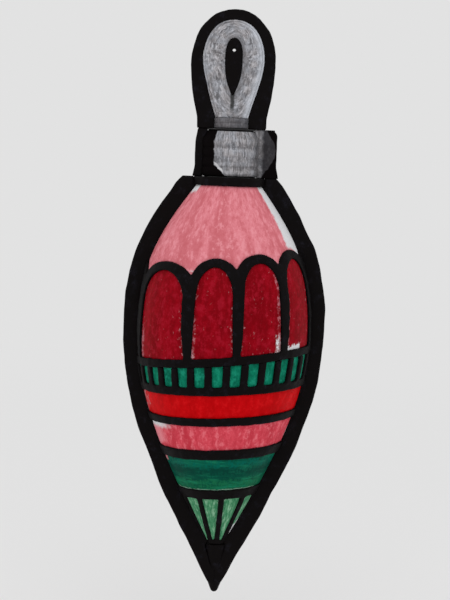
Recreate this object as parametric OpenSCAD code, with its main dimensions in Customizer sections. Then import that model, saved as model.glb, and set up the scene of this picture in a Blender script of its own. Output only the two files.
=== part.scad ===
// Teardrop hanging ornament: two pressed half shells joined by a black rim, enamelled
// fields between raised black ridges, a ribbed cap on the neck and a swivelling loop.
// The origin is the centre of the hanging eye. +Z is up and the front faces -Y.

/* [Loop] */
// Half width of the silver loop at its widest
loop_half_w = 9.1; // [8.5:0.1:10]
// Height of the silver loop's crown above the eye
loop_crown_h = 8.8; // [8:0.1:9.6]
// Drop from the eye to the loop's widest place
loop_belly_drop = 3.4; // [2.8:0.1:4.2]
// Drop from the eye to the foot of the loop
loop_foot_drop = 20.1; // [19.5:0.1:24]
// Half width of the silver loop at its foot
loop_foot_half_w = 4.8; // [4.2:0.1:5.2]
// Thickness of the silver loop, front to back
loop_t = 6.2; // [5.4:0.1:7]
// Height of the rounding step on the loop's faces
loop_step = 0.7; // [0.4:0.1:1]
// Half width of the black edging at its widest
edge_half_w = 12.5; // [11.8:0.1:13.2]
// Height of the black edging above the eye
edge_crown_h = 11.9; // [11:0.1:12.8]
// Drop from the eye to the edging's widest place
edge_belly_drop = 4.8; // [4:0.1:5.6]
// Half width of the black edging beside the ferrule
edge_foot_half_w = 10.3; // [9.5:0.1:11]
// Thickness of the black edging, front to back
edge_t = 4.8; // [4:0.1:5.2]
// Radius of the hanging eye
eye_r = 0.6; // [0.5:0.1:1.4]
// Half width of the black eye insert
insert_half_w = 2.6; // [2.5:0.1:3]
// Height of the insert's crown above the eye
insert_crown_h = 3.5; // [3.2:0.1:4.2]
// Drop from the eye to the insert's widest place
insert_belly_drop = 2; // [1.5:0.1:2.6]
// Drop from the eye to the insert's point
insert_foot_drop = 13.4; // [12:0.1:13.6]
// Half width of the insert's blunt point
insert_foot_half_w = 0.25; // [0.2:0.05:0.4]
// Thickness of the insert, front to back
insert_t = 5.4; // [4.8:0.1:5.8]

/* [Swivel] */
// Radius of the ferrule under the loop
ferrule_r = 5.5; // [5.3:0.1:6.2]
// Height of the ferrule
ferrule_h = 3; // [2.6:0.1:3.6]
// Depth of the groove turned round the ferrule
ferrule_groove = 0.4; // [0.2:0.1:0.6]
// Radius of the stem where it turns in the cap
stem_journal_r = 2; // [1.8:0.1:2.4]
// Radius of the stem's two threaded ends
stem_stud_r = 1.4; // [1.2:0.1:1.6]
// Length of the stud that screws into the loop's foot
stem_bite = 4.4; // [3.5:0.1:5]
// Running clearance of the journal in the cap, on the radius
journal_clearance = 0.05; // [0.02:0.01:0.08]
// Clearance of the journal in the washer and the clip, on the radius
loose_clearance = 0.3; // [0.2:0.05:0.5]
// End play of the swivel, above and below the cap
swivel_gap = 0.2; // [0.15:0.05:0.3]
// Distance of the washer's edge from the edge of the cap's flat top
washer_inset = 0.1; // [0.05:0.05:0.4]
// Thickness of the thrust washer
washer_t = 0.3; // [0.2:0.05:0.5]
// Radius over the corners of the retaining nut
nut_r = 3.3; // [2.8:0.1:3.8]
// Height of the retaining nut
nut_h = 2.2; // [1.8:0.1:2.6]
// Length of thread that shows below the nut
stem_tail = 0.6; // [0.3:0.1:1]

/* [Cap] */
// Height of the ribbed cap
cap_h = 13.8; // [12.8:0.1:15]
// Wall of the cap's barrel
cap_wall = 0.8; // [0.6:0.1:1]
// Thickness of the cap's top plate
cap_top_t = 1; // [0.8:0.1:1.3]
// Amount that the cap's top is drawn in
cap_shoulder_in = 1.2; // [0.8:0.1:1.4]
// Height of the drawn-in shoulder
cap_shoulder_h = 2.4; // [1.8:0.1:3]
// Number of ribs round the cap
cap_rib_count = 4; // [3:1:5]
// Depth of the grooves between the ribs
cap_groove = 0.35; // [0.2:0.05:0.45]
// Width of the left side grip beyond the cap
grip_left_w = 1.7; // [1.4:0.1:3.6]
// Width of the right side grip beyond the cap
grip_right_w = 5.1; // [3.6:0.1:5.6]
// Thickness of a side grip, front to back
grip_t = 4; // [3.4:0.1:4.6]
// Amount that the grip's top is drawn in
grip_top_in = 1.2; // [0.8:0.1:1.4]
// Height over which the grip's top is drawn in
grip_top_h = 3.2; // [2.4:0.1:4]
// Amount that the grip flares at its foot
grip_flare = 0.6; // [0.3:0.1:1.2]
// Height of the grip's flare
grip_flare_h = 3; // [2:0.1:4]
// Gap between the cap and the neck ring
cap_seat_gap = 0.2; // [0.1:0.05:0.3]
// Thickness of the spring clip's strip
clip_t = 0.8; // [0.6:0.1:1]
// Width of the spring clip's legs
clip_leg_w = 4; // [3:0.1:4.6]
// Length of the spring clip's legs
clip_leg_h = 14; // [12:0.5:16]
// Amount that the legs bow out to grip the neck
clip_bow = 0.8; // [0.5:0.1:1.1]
// Amount that the leg's foot is drawn in
clip_foot_in = 0.6; // [0.3:0.1:0.9]
// Clearance of the clip in the neck's bore, on the radius
clip_clearance = 0.05; // [0.03:0.01:0.08]

/* [Neck] */
// Inner radius of the neck sleeve
neck_bore_r = 6.8; // [6.6:0.1:7]
// Wall of the neck sleeve
neck_wall = 0.8; // [0.7:0.1:0.9]
// Clearance between the neck sleeve and the cap, on the radius
cap_clearance = 0.3; // [0.2:0.05:0.4]
// Gap between the neck sleeve's top and the cap's drawn-in shoulder
neck_top_gap = 0.4; // [0.3:0.1:0.8]
// Length of the neck sleeve inside the body
neck_sink = 6; // [4:0.5:9]
// Height of the black neck ring
neck_ring_h = 2.4; // [2:0.1:3]
// Width that the neck ring stands beyond the body's shoulder
neck_ring_lap = 1; // [0.7:0.1:1.4]
// Height of the lip that locates the half shells
neck_lip_h = 2; // [1.5:0.1:3]
// Clearance of the lip in the half shells
lip_clearance = 0.05; // [0.03:0.01:0.1]

/* [Body] */
// Largest radius of the enamelled body
body_max_r = 25.9; // [23.5:0.1:27]
// Radius of the body at the neck ring
shoulder_r = 9.7; // [9.5:0.1:10.4]
// Height from the widest place up to the neck ring
shoulder_h = 43.5; // [42.5:0.5:48]
// Drop from the widest place to the end of the taper
taper_h = 66.5; // [65.5:0.5:71]
// Radius that the taper runs down to
taper_end_r = 1.5; // [1.4:0.1:1.8]
// Wall of the pressed half shells
shell_wall = 0.9; // [0.7:0.1:1]
// Thickness of the enamel
enamel_t = 0.5; // [0.3:0.05:0.6]
// Height of the black ridges above the enamel
ridge_proud = 0.6; // [0.3:0.1:0.9]
// Width that the black rim stands out at the body's widest place
rim_w = 4.2; // [3.4:0.1:5.2]
// Width that it stands out at its two ends
rim_end_w = 5.2; // [4.6:0.1:6]
// Thickness of the black rim, front to back
rim_t = 4; // [3.2:0.1:5]
// Thickness of the rim's tongue between the half shells
tongue_t = 0.8; // [0.5:0.1:1.2]
// Height of the shells' end above the end of the taper
finial_rise = 1.8; // [1.5:0.1:2.4]
// Width that the finial stands beyond the ridges
finial_lip = 0.5; // [0.3:0.1:0.8]
// Length of the finial's spigot inside the shells
finial_spigot_h = 5; // [3:0.5:8]
// Clearance of the spigot in the shells, on the radius
spigot_clearance = 0.2; // [0.1:0.05:0.3]
// Height of the black point below the rim's foot
finial_point_h = 3.6; // [3:0.1:4.5]
// Radius of the finial's waist, just above the point
finial_waist_r = 1.2; // [1:0.1:1.5]
// Radius of the rounded end of the point
finial_end_r = 1.2; // [0.8:0.1:1.4]

/* [Petals] */
// Angle from the front to the left edge of the first whole petal
petal_start_angle = 72; // [68:0.5:75]
// Angle that the first whole petal takes
petal_1_angle = 49; // [44:0.5:50]
// Angle that the second petal takes
petal_2_angle = 32; // [32:0.5:36]
// Angle that the third petal takes
petal_3_angle = 34; // [32:0.5:36]
// Angle that the fourth petal takes
petal_4_angle = 34; // [33:0.5:37]
// Width of the ridge between two petals at their base
petal_ridge_w = 2.1; // [2:0.1:3]
// Height of a petal
petal_h = 26; // [24:0.5:30]
// Height of a petal's rounded top
petal_round_h = 8.4; // [7:0.1:10]
// Width of the ridge over a petal's top
arch_w = 2.5; // [1.8:0.1:2.8]
// Height of the rounded top of that ridge
arch_round_h = 7.6; // [6.5:0.1:9]
// Slant of the petals, up to the right
petal_slant_angle = 6; // [3:0.5:7]

/* [Stripes] */
// Drop from the widest place to the petals' base
petal_base_drop = 5.3; // [4:0.1:6.6]
// Width of the ridges round the upper stripes
ridge_w = 2.4; // [1.6:0.1:2.6]
// Width of the ridges above and below the plain green stripe
low_ridge_w = 3; // [2.4:0.1:3.4]
// Height of the green stripe with dashes
dash_h = 6.3; // [5:0.1:6.6]
// Number of dashes round the body
dash_count = 30; // [24:2:36]
// Angle from the front to the first ridge between two dashes
dash_start_angle = 3; // [0:0.5:5]
// Width of the ridge between two dashes
dash_ridge_w = 2.1; // [1.6:0.1:2.4]
// Height of the red stripe
red_h = 6.9; // [6:0.1:7.8]
// Height of the pink stripe
pink_h = 7.6; // [6.8:0.1:8.4]
// Height of the plain green stripe
green_h = 9.9; // [8.2:0.1:10.6]
// Number of ribs in the fan at the tip, all round
fan_count = 10; // [10:2:12]
// Angle from the front to the fan's first rib
fan_start_angle = 7; // [0:0.5:9]
// Width of the ribs of the fan
fan_ridge_w = 1.5; // [1.4:0.1:2.1]
// Slant of the stripes, up to the right
stripe_slant_angle = 3.5; // [1:0.5:5]

/* [Hidden] */
$fn = 72;
// Steps in the body's profile, above and below its widest place
shoulder_steps = 16;
taper_steps = 20;
// Steps in the loop's outlines, above and below the widest place
crown_steps = 10;
foot_steps = 10;
// Steps in a petal's outline, in a clip leg and in the rounded end of the tip
petal_steps = 12;
leg_steps = 10;
end_steps = 6;
// Exponents of the curves
shoulder_power = 1.27;
taper_power = 0.95;
crown_power = 2.2;
loop_taper_power = 0.76;
edge_taper_power = 0.88;
insert_taper_power = 1.46;
// Share of a petal's width that its rounded top is drawn in by
petal_draw_share = 0.12;
// Overlap of neighbouring arches
arch_lap = 0.3;
// Share of a rib's pitch that its crest takes
crest_share = 0.6;
// Smallest height difference that a slope is measured over
slope_step = 0.05;
// Overrun of cutting shapes
over = 1;

// Heights, worked down from the eye
ferrule_top_z = -loop_foot_drop;
ferrule_z = ferrule_top_z - ferrule_h;
washer_top_z = ferrule_z - swivel_gap;
cap_top_z = washer_top_z - washer_t;
cap_plate_z = cap_top_z - cap_top_t;
cap_shoulder_z = cap_top_z - cap_shoulder_h;
clip_z = cap_plate_z - clip_t;
nut_top_z = clip_z - swivel_gap;
nut_z = nut_top_z - nut_h;
cap_foot_z = cap_top_z - cap_h;
ring_top_z = cap_foot_z - cap_seat_gap;
shoulder_z = ring_top_z - neck_ring_h;
widest_z = shoulder_z - shoulder_h;
taper_end_z = widest_z - taper_h;
finial_z = taper_end_z + finial_rise;

// Radii that follow one another
neck_r = neck_bore_r + neck_wall;
cap_bore_r = neck_r + cap_clearance;
cap_r = cap_bore_r + cap_wall;
washer_r = cap_r - cap_shoulder_in - washer_inset;
neck_ring_r = shoulder_r + neck_ring_lap;
clip_reach = sqrt(pow(neck_bore_r - clip_clearance, 2) - pow(clip_leg_w / 2, 2));
clip_bridge_r = clip_reach - clip_clearance;

// Stripes, from the petals' base down
petal_z = widest_z - petal_base_drop;
dash_top_z = petal_z - ridge_w;
dash_z = dash_top_z - dash_h;
red_top_z = dash_z - ridge_w;
red_z = red_top_z - red_h;
pink_top_z = red_z - ridge_w;
pink_z = pink_top_z - pink_h;
green_top_z = pink_z - low_ridge_w;
green_z = green_top_z - green_h;
fan_top_z = green_z - low_ridge_w;

// The rim's outline ends in a straight point
taper_slope = slope(taper_end_z + slope_step);
taper_angle = atan(taper_slope);
apex_z = taper_end_z - taper_end_r / taper_slope - rim_end_w / sin(taper_angle);
rim_foot_z = apex_z + finial_point_h;

// A box that is larger than the body each way
reach = body_max_r + max(rim_w, rim_end_w) + over;
dash_pitch = 360 / dash_count;
fan_pitch = 360 / fan_count;

// Reach of a petal's outline below its base, down to the slanting ridge under it
petal_foot_reach = body_max_r * tan(petal_slant_angle);

// Petals of one half, from the left: the first and the last run on under the rim
petal_5_angle = 180 - petal_1_angle - petal_2_angle - petal_3_angle - petal_4_angle;
petal_angles = [petal_5_angle, petal_1_angle, petal_2_angle, petal_3_angle, petal_4_angle,
    petal_5_angle];
petals_a_side = len(petal_angles);

SIDES = ["front", "rear"];
HALF_NAMES = ["shell", "arch_ridge", "dash_ridge", "red_ridge", "pink_ridge", "fan_ridge",
    "shoulder_enamel", "dash_enamel", "red_enamel", "pink_enamel", "green_enamel", "fan_enamel"];

// Radius of the enamelled body at a height
function body_r(z) = z > widest_z
    ? shoulder_r + (body_max_r - shoulder_r)
        * cos(90 * pow((z - widest_z) / shoulder_h, shoulder_power))
    : taper_end_r + (body_max_r - taper_end_r)
        * cos(90 * pow((widest_z - z) / taper_h, taper_power));

// Growth of the body's radius with height
function slope(z) = (body_r(z + slope_step) - body_r(z - slope_step)) / (2 * slope_step);

// Width that the rim stands out at a height
function rim_w_at(z) = rim_w + (rim_end_w - rim_w)
    * (z > widest_z ? (z - widest_z) / shoulder_h : (widest_z - z) / taper_h);

// Point of the rim's outline beside the body's surface at a height
function rim_point(z) = let (s = slope(z), n = sqrt(1 + s * s), w = rim_w_at(z))
    [body_r(z) + w / n, z - w * s / n];

// Heights of the body's profile, from the shoulder down to the end of the shells
profile_z = concat(
    [for (i = [0 : shoulder_steps - 1]) shoulder_z - shoulder_h * i / shoulder_steps],
    [for (i = [0 : taper_steps]) widest_z - (widest_z - finial_z) * i / taper_steps]);

function side_points(shift) = [for (z = profile_z) [body_r(z) + shift, z]];

function backwards(list) = [for (i = [len(list) - 1 : -1 : 0]) list[i]];

// Adds the left side to the right side of an outline
function both_sides(right) = concat(right,
    [for (p = backwards(right)) if (p[0] > 0) [-p[0], p[1]]]);

// Right side of a loop's outline, a rounded crown over a taper, as [x, z] points
function loop_side(half_w, crown, belly_drop, foot_drop, foot_half_w, power) = concat(
    [for (i = [0 : crown_steps]) let (u = 1 - pow(i / crown_steps, 2))
        [half_w * pow(1 - pow(u, crown_power), 1 / crown_power),
            -belly_drop + (crown + belly_drop) * u]],
    [for (i = [1 : foot_steps]) let (t = i / foot_steps)
        [foot_half_w + (half_w - foot_half_w) * cos(90 * pow(t, power)),
            -belly_drop - (foot_drop - belly_drop) * t]]);

// Slant of the pattern's edges at a height
function slant(z) = z >= shoulder_z || z <= finial_z ? 0
    : z > dash_z ? petal_slant_angle : stripe_slant_angle;

// Sum of the first angles in the list of petals
function angle_before(k) = k < 2 ? 0 : petal_angles[k - 2] + angle_before(k - 1);

// Angle from the front to the middle of a petal
function petal_turn(k) = -petal_start_angle - petal_5_angle + angle_before(k)
    + petal_angles[k - 1] / 2;

function petal_half_chord(k) = body_max_r * sin(petal_angles[k - 1] / 2);

// Right side of a rounded top on straight flanks, as [x, z] points over the petals' base
function arch_side(top_half_w, base_half_w, round_h, top_h) = concat(
    [for (i = [0 : petal_steps]) let (turn = 90 * i / petal_steps)
        [top_half_w * sin(turn), top_h - round_h * (1 - cos(turn))]],
    [[base_half_w, 0], [base_half_w, -petal_foot_reach]]);

// Lays a drawing in the upright plane through X and Z and gives it a thickness
module plate(thickness) {
    rotate([90, 0, 0]) linear_extrude(height = thickness, center = true) children();
}

module turned(points) {
    rotate_extrude() polygon(points);
}

module ring(inner_r, outer_r, low_z, high_z) {
    difference() {
        translate([0, 0, low_z]) cylinder(r = outer_r, h = high_z - low_z);
        translate([0, 0, low_z - over]) cylinder(r = inner_r, h = high_z - low_z + 2 * over);
    }
}

// The rear half is the front half turned round, with its slants the other way
module on_side(side) {
    $hand = side == "rear" ? -1 : 1;
    rotate([0, 0, side == "rear" ? 180 : 0]) children();
}

// Everything in front of the middle plane by a distance
module front_half(clear) {
    intersection() {
        children();
        translate([-reach, -reach - clear, finial_z - over])
            cube([2 * reach, reach, shoulder_z - finial_z + 2 * over]);
    }
}

// Everything below a plane that slants up to the right
module below(z) {
    translate([0, 0, z]) rotate([0, -$hand * slant(z), 0])
        translate([-2 * reach, -2 * reach, -4 * reach]) cube(4 * reach);
}

// A closed body of revolution at a distance from the enamel's surface
module body_solid(shift) {
    turned(concat([[0, shoulder_z]], side_points(shift), [[0, finial_z]]));
}

// A layer round the body between two distances from the enamel's surface
module layer(inner_shift, outer_shift) {
    turned(concat(side_points(outer_shift), backwards(side_points(inner_shift))));
}

// The part of a layer between two slanting planes
module stripe(outer_shift, low_z, high_z) {
    front_half(rim_t / 2) difference() {
        intersection() {
            layer(-enamel_t, outer_shift);
            below(high_z);
        }
        below(low_z);
    }
}

module enamel(low_z, high_z) {
    stripe(0, low_z, high_z);
}

module ridge(low_z, high_z) {
    stripe(ridge_proud, low_z, high_z);
}

// Pushes an outline over the petals' base outwards from near the axis, in the middle of a petal
module petal_prism(k) {
    rise = $hand * body_max_r * sin(petal_turn(k)) * tan(petal_slant_angle);
    translate([0, 0, petal_z + rise]) rotate([0, 0, petal_turn(k)])
        translate([0, -reach / 2, 0]) plate(reach - over) children();
}

module petal_shape(k) {
    half_w = petal_half_chord(k) - petal_ridge_w / 2;
    petal_prism(k) polygon(both_sides(
        arch_side(half_w * (1 - petal_draw_share), half_w, petal_round_h, petal_h)));
}

module arch_shape(k) {
    half_w = petal_half_chord(k) + arch_lap;
    petal_prism(k) polygon(both_sides(
        arch_side(half_w, half_w, arch_round_h, petal_h + arch_w)));
}

// Upright bars round the front half, at even angles
module bars(pitch, first, width) {
    last = floor(90 / pitch);
    for (i = [-last : last])
        rotate([0, 0, first + i * pitch]) translate([-width / 2, -reach, finial_z - over])
            cube([width, reach, shoulder_z - finial_z + 2 * over]);
}

module loop_outline(inset) {
    polygon(both_sides(loop_side(loop_half_w - inset, loop_crown_h - inset, loop_belly_drop,
        loop_foot_drop, loop_foot_half_w - inset, loop_taper_power)));
}

module insert_outline() {
    polygon(both_sides(loop_side(insert_half_w, insert_crown_h, insert_belly_drop,
        insert_foot_drop, insert_foot_half_w, insert_taper_power)));
}

module silver_loop() {
    color("silver") difference() {
        union() {
            plate(loop_t - 2 * loop_step) loop_outline(0);
            plate(loop_t) loop_outline(loop_step);
        }
        plate(loop_t + over) insert_outline();
        translate([0, 0, ferrule_top_z - over]) cylinder(r = stem_stud_r, h = stem_bite + over);
    }
}

module loop_edging() {
    side = loop_side(edge_half_w, edge_crown_h, edge_belly_drop, loop_foot_drop,
        edge_foot_half_w, edge_taper_power);
    color("#15151a") difference() {
        plate(edge_t) polygon(both_sides(concat(side, [[edge_foot_half_w, ferrule_z]])));
        plate(edge_t + over) loop_outline(0);
        translate([0, 0, ferrule_z - over]) cylinder(r = ferrule_r, h = ferrule_h + over);
    }
}

module eye_insert() {
    color("#15151a") difference() {
        plate(insert_t) insert_outline();
        rotate([90, 0, 0]) cylinder(r = eye_r, h = insert_t + over, center = true);
    }
}

module loop_ferrule() {
    middle = ferrule_z + ferrule_h / 2;
    color("dimgray") turned([[stem_stud_r, ferrule_top_z], [ferrule_r, ferrule_top_z],
        [ferrule_r, middle + ferrule_groove], [ferrule_r - ferrule_groove, middle],
        [ferrule_r, middle - ferrule_groove], [ferrule_r, ferrule_z], [stem_stud_r, ferrule_z]]);
}

module swivel_stem() {
    color("gray") union() {
        translate([0, 0, nut_z - stem_tail])
            cylinder(r = stem_stud_r, h = ferrule_top_z + stem_bite - nut_z + stem_tail);
        translate([0, 0, nut_top_z]) cylinder(r = stem_journal_r, h = ferrule_z - nut_top_z);
    }
}

module retaining_nut() {
    color("dimgray") difference() {
        translate([0, 0, nut_z]) cylinder(r = nut_r, h = nut_h, $fn = 6);
        translate([0, 0, nut_z - over]) cylinder(r = stem_stud_r, h = nut_h + 2 * over);
    }
}

module cap_barrel() {
    pitch = (cap_shoulder_z - cap_foot_z) / cap_rib_count;
    crest = pitch * crest_share;
    color("silver") turned(concat(
        [[stem_journal_r + journal_clearance, cap_top_z], [cap_r - cap_shoulder_in, cap_top_z]],
        [for (i = [0 : cap_rib_count - 1]) let (z = cap_shoulder_z - i * pitch)
            each [[cap_r, z], [cap_r, z - crest], [cap_r - cap_groove, z - (crest + pitch) / 2]]],
        [[cap_r, cap_foot_z], [cap_bore_r, cap_foot_z], [cap_bore_r, cap_shoulder_z],
            [cap_bore_r - cap_shoulder_in, cap_plate_z],
            [stem_journal_r + journal_clearance, cap_plate_z]]));
}

module thrust_washer() {
    color("dimgray") ring(stem_journal_r + loose_clearance, washer_r, cap_top_z, washer_top_z);
}

// Grip on one side of the cap: -1 is left, 1 is right
module cap_grip(hand) {
    outer_r = cap_r + (hand < 0 ? grip_left_w : grip_right_w);
    inner_r = cap_bore_r;
    color(hand < 0 ? "#15151a" : "#333234") difference() {
        plate(grip_t) polygon([for (p = [[inner_r, cap_foot_z], [outer_r + grip_flare, cap_foot_z],
            [outer_r, cap_foot_z + grip_flare_h], [outer_r, washer_top_z - grip_top_h],
            [outer_r - grip_top_in, washer_top_z], [inner_r, washer_top_z]]) [hand * p[0], p[1]]]);
        turned([[0, washer_top_z + over], [cap_r - cap_shoulder_in, washer_top_z + over],
            [cap_r - cap_shoulder_in, cap_top_z], [cap_r, cap_shoulder_z],
            [cap_r, cap_foot_z - over], [0, cap_foot_z - over]]);
    }
}

module spring_clip() {
    outer = [for (i = [0 : leg_steps]) let (t = i / leg_steps)
        [clip_reach - clip_bow + clip_bow * sin(180 * t) - clip_foot_in * t * t,
            cap_plate_z - clip_leg_h * t]];
    leg = concat(outer, [for (p = backwards(outer)) [p[0] - clip_t, p[1]]]);
    color("gray") union() {
        ring(stem_journal_r + loose_clearance, clip_reach - clip_bow, clip_z, cap_plate_z);
        for (hand = [-1, 1])
            plate(clip_leg_w) polygon([for (p = leg) [hand * p[0], p[1]]]);
    }
}

module neck_sleeve() {
    color("silver")
        ring(neck_bore_r, neck_r, shoulder_z - neck_sink, cap_shoulder_z - neck_top_gap);
}

module neck_ring() {
    lip_r = body_r(shoulder_z) - enamel_t - shell_wall - lip_clearance;
    color("#15151a") turned([[neck_r, ring_top_z], [neck_ring_r, ring_top_z],
        [neck_ring_r, shoulder_z], [lip_r, shoulder_z], [lip_r, shoulder_z - neck_lip_h],
        [neck_r, shoulder_z - neck_lip_h]]);
}

// Black rim on one side, with its tongue between the half shells: -1 is left, 1 is right
module rim(hand) {
    edge = concat([for (z = profile_z) rim_point(z)], [rim_point(taper_end_z + slope_step)]);
    outline = concat([[neck_ring_r - over, ring_top_z]], [for (p = edge) [p[0], min(p[1], ring_top_z)]],
        [[finial_point_h * tan(taper_angle), rim_foot_z], [0, rim_foot_z], [0, finial_z]],
        backwards(side_points(-enamel_t - shell_wall)));
    tongue = concat(side_points(0), backwards(side_points(-enamel_t - shell_wall)));
    color("#15151a") union() {
        difference() {
            plate(rim_t) polygon([for (p = outline) [hand * p[0], p[1]]]);
            body_solid(-enamel_t);
            translate([0, 0, shoulder_z]) cylinder(r = neck_ring_r, h = neck_ring_h + over);
            finial_body();
        }
        plate(tongue_t) polygon([for (p = tongue) [hand * p[0], p[1]]]);
    }
}

module finial_body() {
    top_r = body_r(finial_z) + ridge_proud + finial_lip;
    turned(concat([[0, finial_z], [top_r, finial_z], [finial_waist_r, rim_foot_z + finial_lip],
        [finial_point_h * tan(taper_angle), rim_foot_z]],
        [for (i = [0 : end_steps]) let (turn = 90 * i / end_steps)
            [finial_end_r * cos(turn), apex_z + finial_end_r * (1 - sin(turn))]]));
}

module tip_finial() {
    spigot_r = body_r(finial_z) - enamel_t - shell_wall - spigot_clearance;
    color("#15151a") union() {
        finial_body();
        translate([0, 0, finial_z - over]) cylinder(r = spigot_r, h = finial_spigot_h + over);
    }
}

module half_shell() {
    color("white") front_half(tongue_t / 2) layer(-enamel_t - shell_wall, -enamel_t);
}

module arch_ridge() {
    color("#15151a") difference() {
        intersection() {
            ridge(dash_top_z, shoulder_z + over);
            union() {
                below(petal_z);
                for (k = [1 : petals_a_side]) arch_shape(k);
            }
        }
        difference() {
            for (k = [1 : petals_a_side]) petal_shape(k);
            below(petal_z);
        }
    }
}

module dash_ridge() {
    color("#15151a") union() {
        ridge(red_top_z, dash_z);
        intersection() {
            ridge(red_top_z, dash_top_z);
            bars(dash_pitch, dash_start_angle, dash_ridge_w);
        }
    }
}

module red_ridge() {
    color("#15151a") ridge(pink_top_z, red_z);
}

module pink_ridge() {
    color("#15151a") ridge(green_top_z, pink_z);
}

module fan_ridge() {
    color("#15151a") union() {
        ridge(fan_top_z, green_z);
        intersection() {
            ridge(finial_z - over, green_z);
            bars(fan_pitch, fan_start_angle, fan_ridge_w);
        }
    }
}

module shoulder_enamel() {
    color("#dd7f88") difference() {
        enamel(petal_z, shoulder_z + over);
        for (k = [1 : petals_a_side]) arch_shape(k);
    }
}

module petal(k) {
    color("#8c0a20") intersection() {
        enamel(petal_z, shoulder_z + over);
        petal_shape(k);
    }
}

module dash_enamel() {
    color("#12866a") difference() {
        enamel(dash_z, dash_top_z);
        bars(dash_pitch, dash_start_angle, dash_ridge_w);
    }
}

module red_enamel() {
    color("#d90f12") enamel(red_z, red_top_z);
}

module pink_enamel() {
    color("#cf5968") enamel(pink_z, pink_top_z);
}

module green_enamel() {
    color("#0a6a4c") enamel(green_z, green_top_z);
}

module fan_enamel() {
    color("#55a86c") difference() {
        enamel(finial_z - over, fan_top_z);
        bars(fan_pitch, fan_start_angle, fan_ridge_w);
    }
}

silver_loop();
loop_edging();
eye_insert();
loop_ferrule();
swivel_stem();
retaining_nut();
cap_barrel();
thrust_washer();
cap_grip(-1);  // cap_grip_left
cap_grip(1);  // cap_grip_right
spring_clip();
neck_sleeve();
neck_ring();
rim(-1);  // rim_left
rim(1);  // rim_right
tip_finial();
for (side = SIDES) on_side(side) {
    half_shell();
    arch_ridge();
    dash_ridge();
    red_ridge();
    pink_ridge();
    fan_ridge();
    shoulder_enamel();
    dash_enamel();
    red_enamel();
    pink_enamel();
    green_enamel();
    fan_enamel();
    for (k = [1 : petals_a_side])
        petal(k);
}
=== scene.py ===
"""Looks of a striped teardrop hanging ornament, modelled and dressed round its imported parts.

The origin is the centre of the hanging eye, +Z is up and the front faces -Y. Lengths are in
metres, as in the frame, and are written in millimetres times MM.
"""

import logging
import math
from collections.abc import Callable
from dataclasses import dataclass, replace
from enum import Enum
from functools import reduce

import bpy
import numpy as np
from mathutils import Matrix, Vector, kdtree

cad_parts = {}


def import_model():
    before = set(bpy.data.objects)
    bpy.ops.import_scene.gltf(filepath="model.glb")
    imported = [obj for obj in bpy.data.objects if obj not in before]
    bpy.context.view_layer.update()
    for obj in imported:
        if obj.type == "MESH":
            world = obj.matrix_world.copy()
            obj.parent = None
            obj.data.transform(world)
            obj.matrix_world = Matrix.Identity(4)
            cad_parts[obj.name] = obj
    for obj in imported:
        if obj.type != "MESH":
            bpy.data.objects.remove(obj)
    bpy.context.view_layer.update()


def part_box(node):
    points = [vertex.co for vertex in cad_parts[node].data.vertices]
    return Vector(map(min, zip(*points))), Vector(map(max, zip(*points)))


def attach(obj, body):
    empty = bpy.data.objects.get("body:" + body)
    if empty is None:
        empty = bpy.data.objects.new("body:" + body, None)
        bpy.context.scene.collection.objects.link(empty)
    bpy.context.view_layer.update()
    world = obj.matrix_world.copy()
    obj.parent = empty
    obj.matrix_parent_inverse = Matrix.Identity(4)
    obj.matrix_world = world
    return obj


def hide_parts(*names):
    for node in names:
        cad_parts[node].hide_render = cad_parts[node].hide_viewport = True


LOG = logging.getLogger("ornament")

MM = 0.001
PER_MM = 1 / MM
# What counts as no distance, for welds and divisors
LEAST = MM * MM
# How near a flat a face lies, and how level it is, to be pressed onto it
PRESS_REACH = 0.5 * MM
LEVEL_ENOUGH = 0.85
TOP, FOOT = 1, -1
# Height and turn within which a field's own edges are looked for
ROW_H = 0.7 * MM
COLUMN_TURN = math.radians(2)

Piece = bpy.types.Object
Material = bpy.types.Material
Socket = bpy.types.NodeSocket
Triple = tuple[float, float, float]
Colour = Triple
Span = tuple[float, float]
Point = tuple[float, float]

INK_BLACK: Colour = (0.0032, 0.0022, 0.0024)
BARE_WHITE: Colour = (0.72, 0.72, 0.74)
PALE_ROSE: Colour = (0.62, 0.33, 0.36)
MID_ROSE: Colour = (0.50, 0.16, 0.19)


class Side(Enum):
    """The two halves of the body, with the turn that brings each to the front."""

    FRONT = ("front", 1)
    REAR = ("rear", -1)

    @property
    def label(self) -> str:
        """Name of the half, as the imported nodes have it."""
        return self.value[0]

    @property
    def hand(self) -> int:
        """1 for the half that faces -Y, and -1 for the other."""
        return self.value[1]


class Grain(Enum):
    """Which way the strokes of a hand-laid colour run."""

    UPRIGHT = "upright"
    LEVEL = "level"


# Bench work: short steps on one piece at a time


def deselect_all() -> None:
    """Leaves edit mode and clears the selection."""
    if bpy.context.object is not None and bpy.context.object.mode != "OBJECT":
        bpy.ops.object.mode_set(mode="OBJECT")
    bpy.ops.object.select_all(action="DESELECT")


def take_up(piece: Piece) -> None:
    """Selects one piece alone and makes it the active one."""
    deselect_all()
    piece.select_set(True)
    bpy.context.view_layer.objects.active = piece


def pick_vertices(piece: Piece, wanted: Callable[[Vector, Vector], bool]) -> None:
    """Opens a piece in edit mode with some of its vertices selected, and nothing else.

    Args:
        piece: The piece.
        wanted: Tells from a vertex's place and normal whether to select it.
    """
    take_up(piece)
    bpy.ops.object.mode_set(mode="EDIT")
    bpy.ops.mesh.select_mode(type="VERT")
    bpy.ops.mesh.select_all(action="DESELECT")
    bpy.ops.object.mode_set(mode="OBJECT")
    for vertex in piece.data.vertices:
        vertex.select = wanted(vertex.co, vertex.normal)
    bpy.ops.object.mode_set(mode="EDIT")


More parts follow.
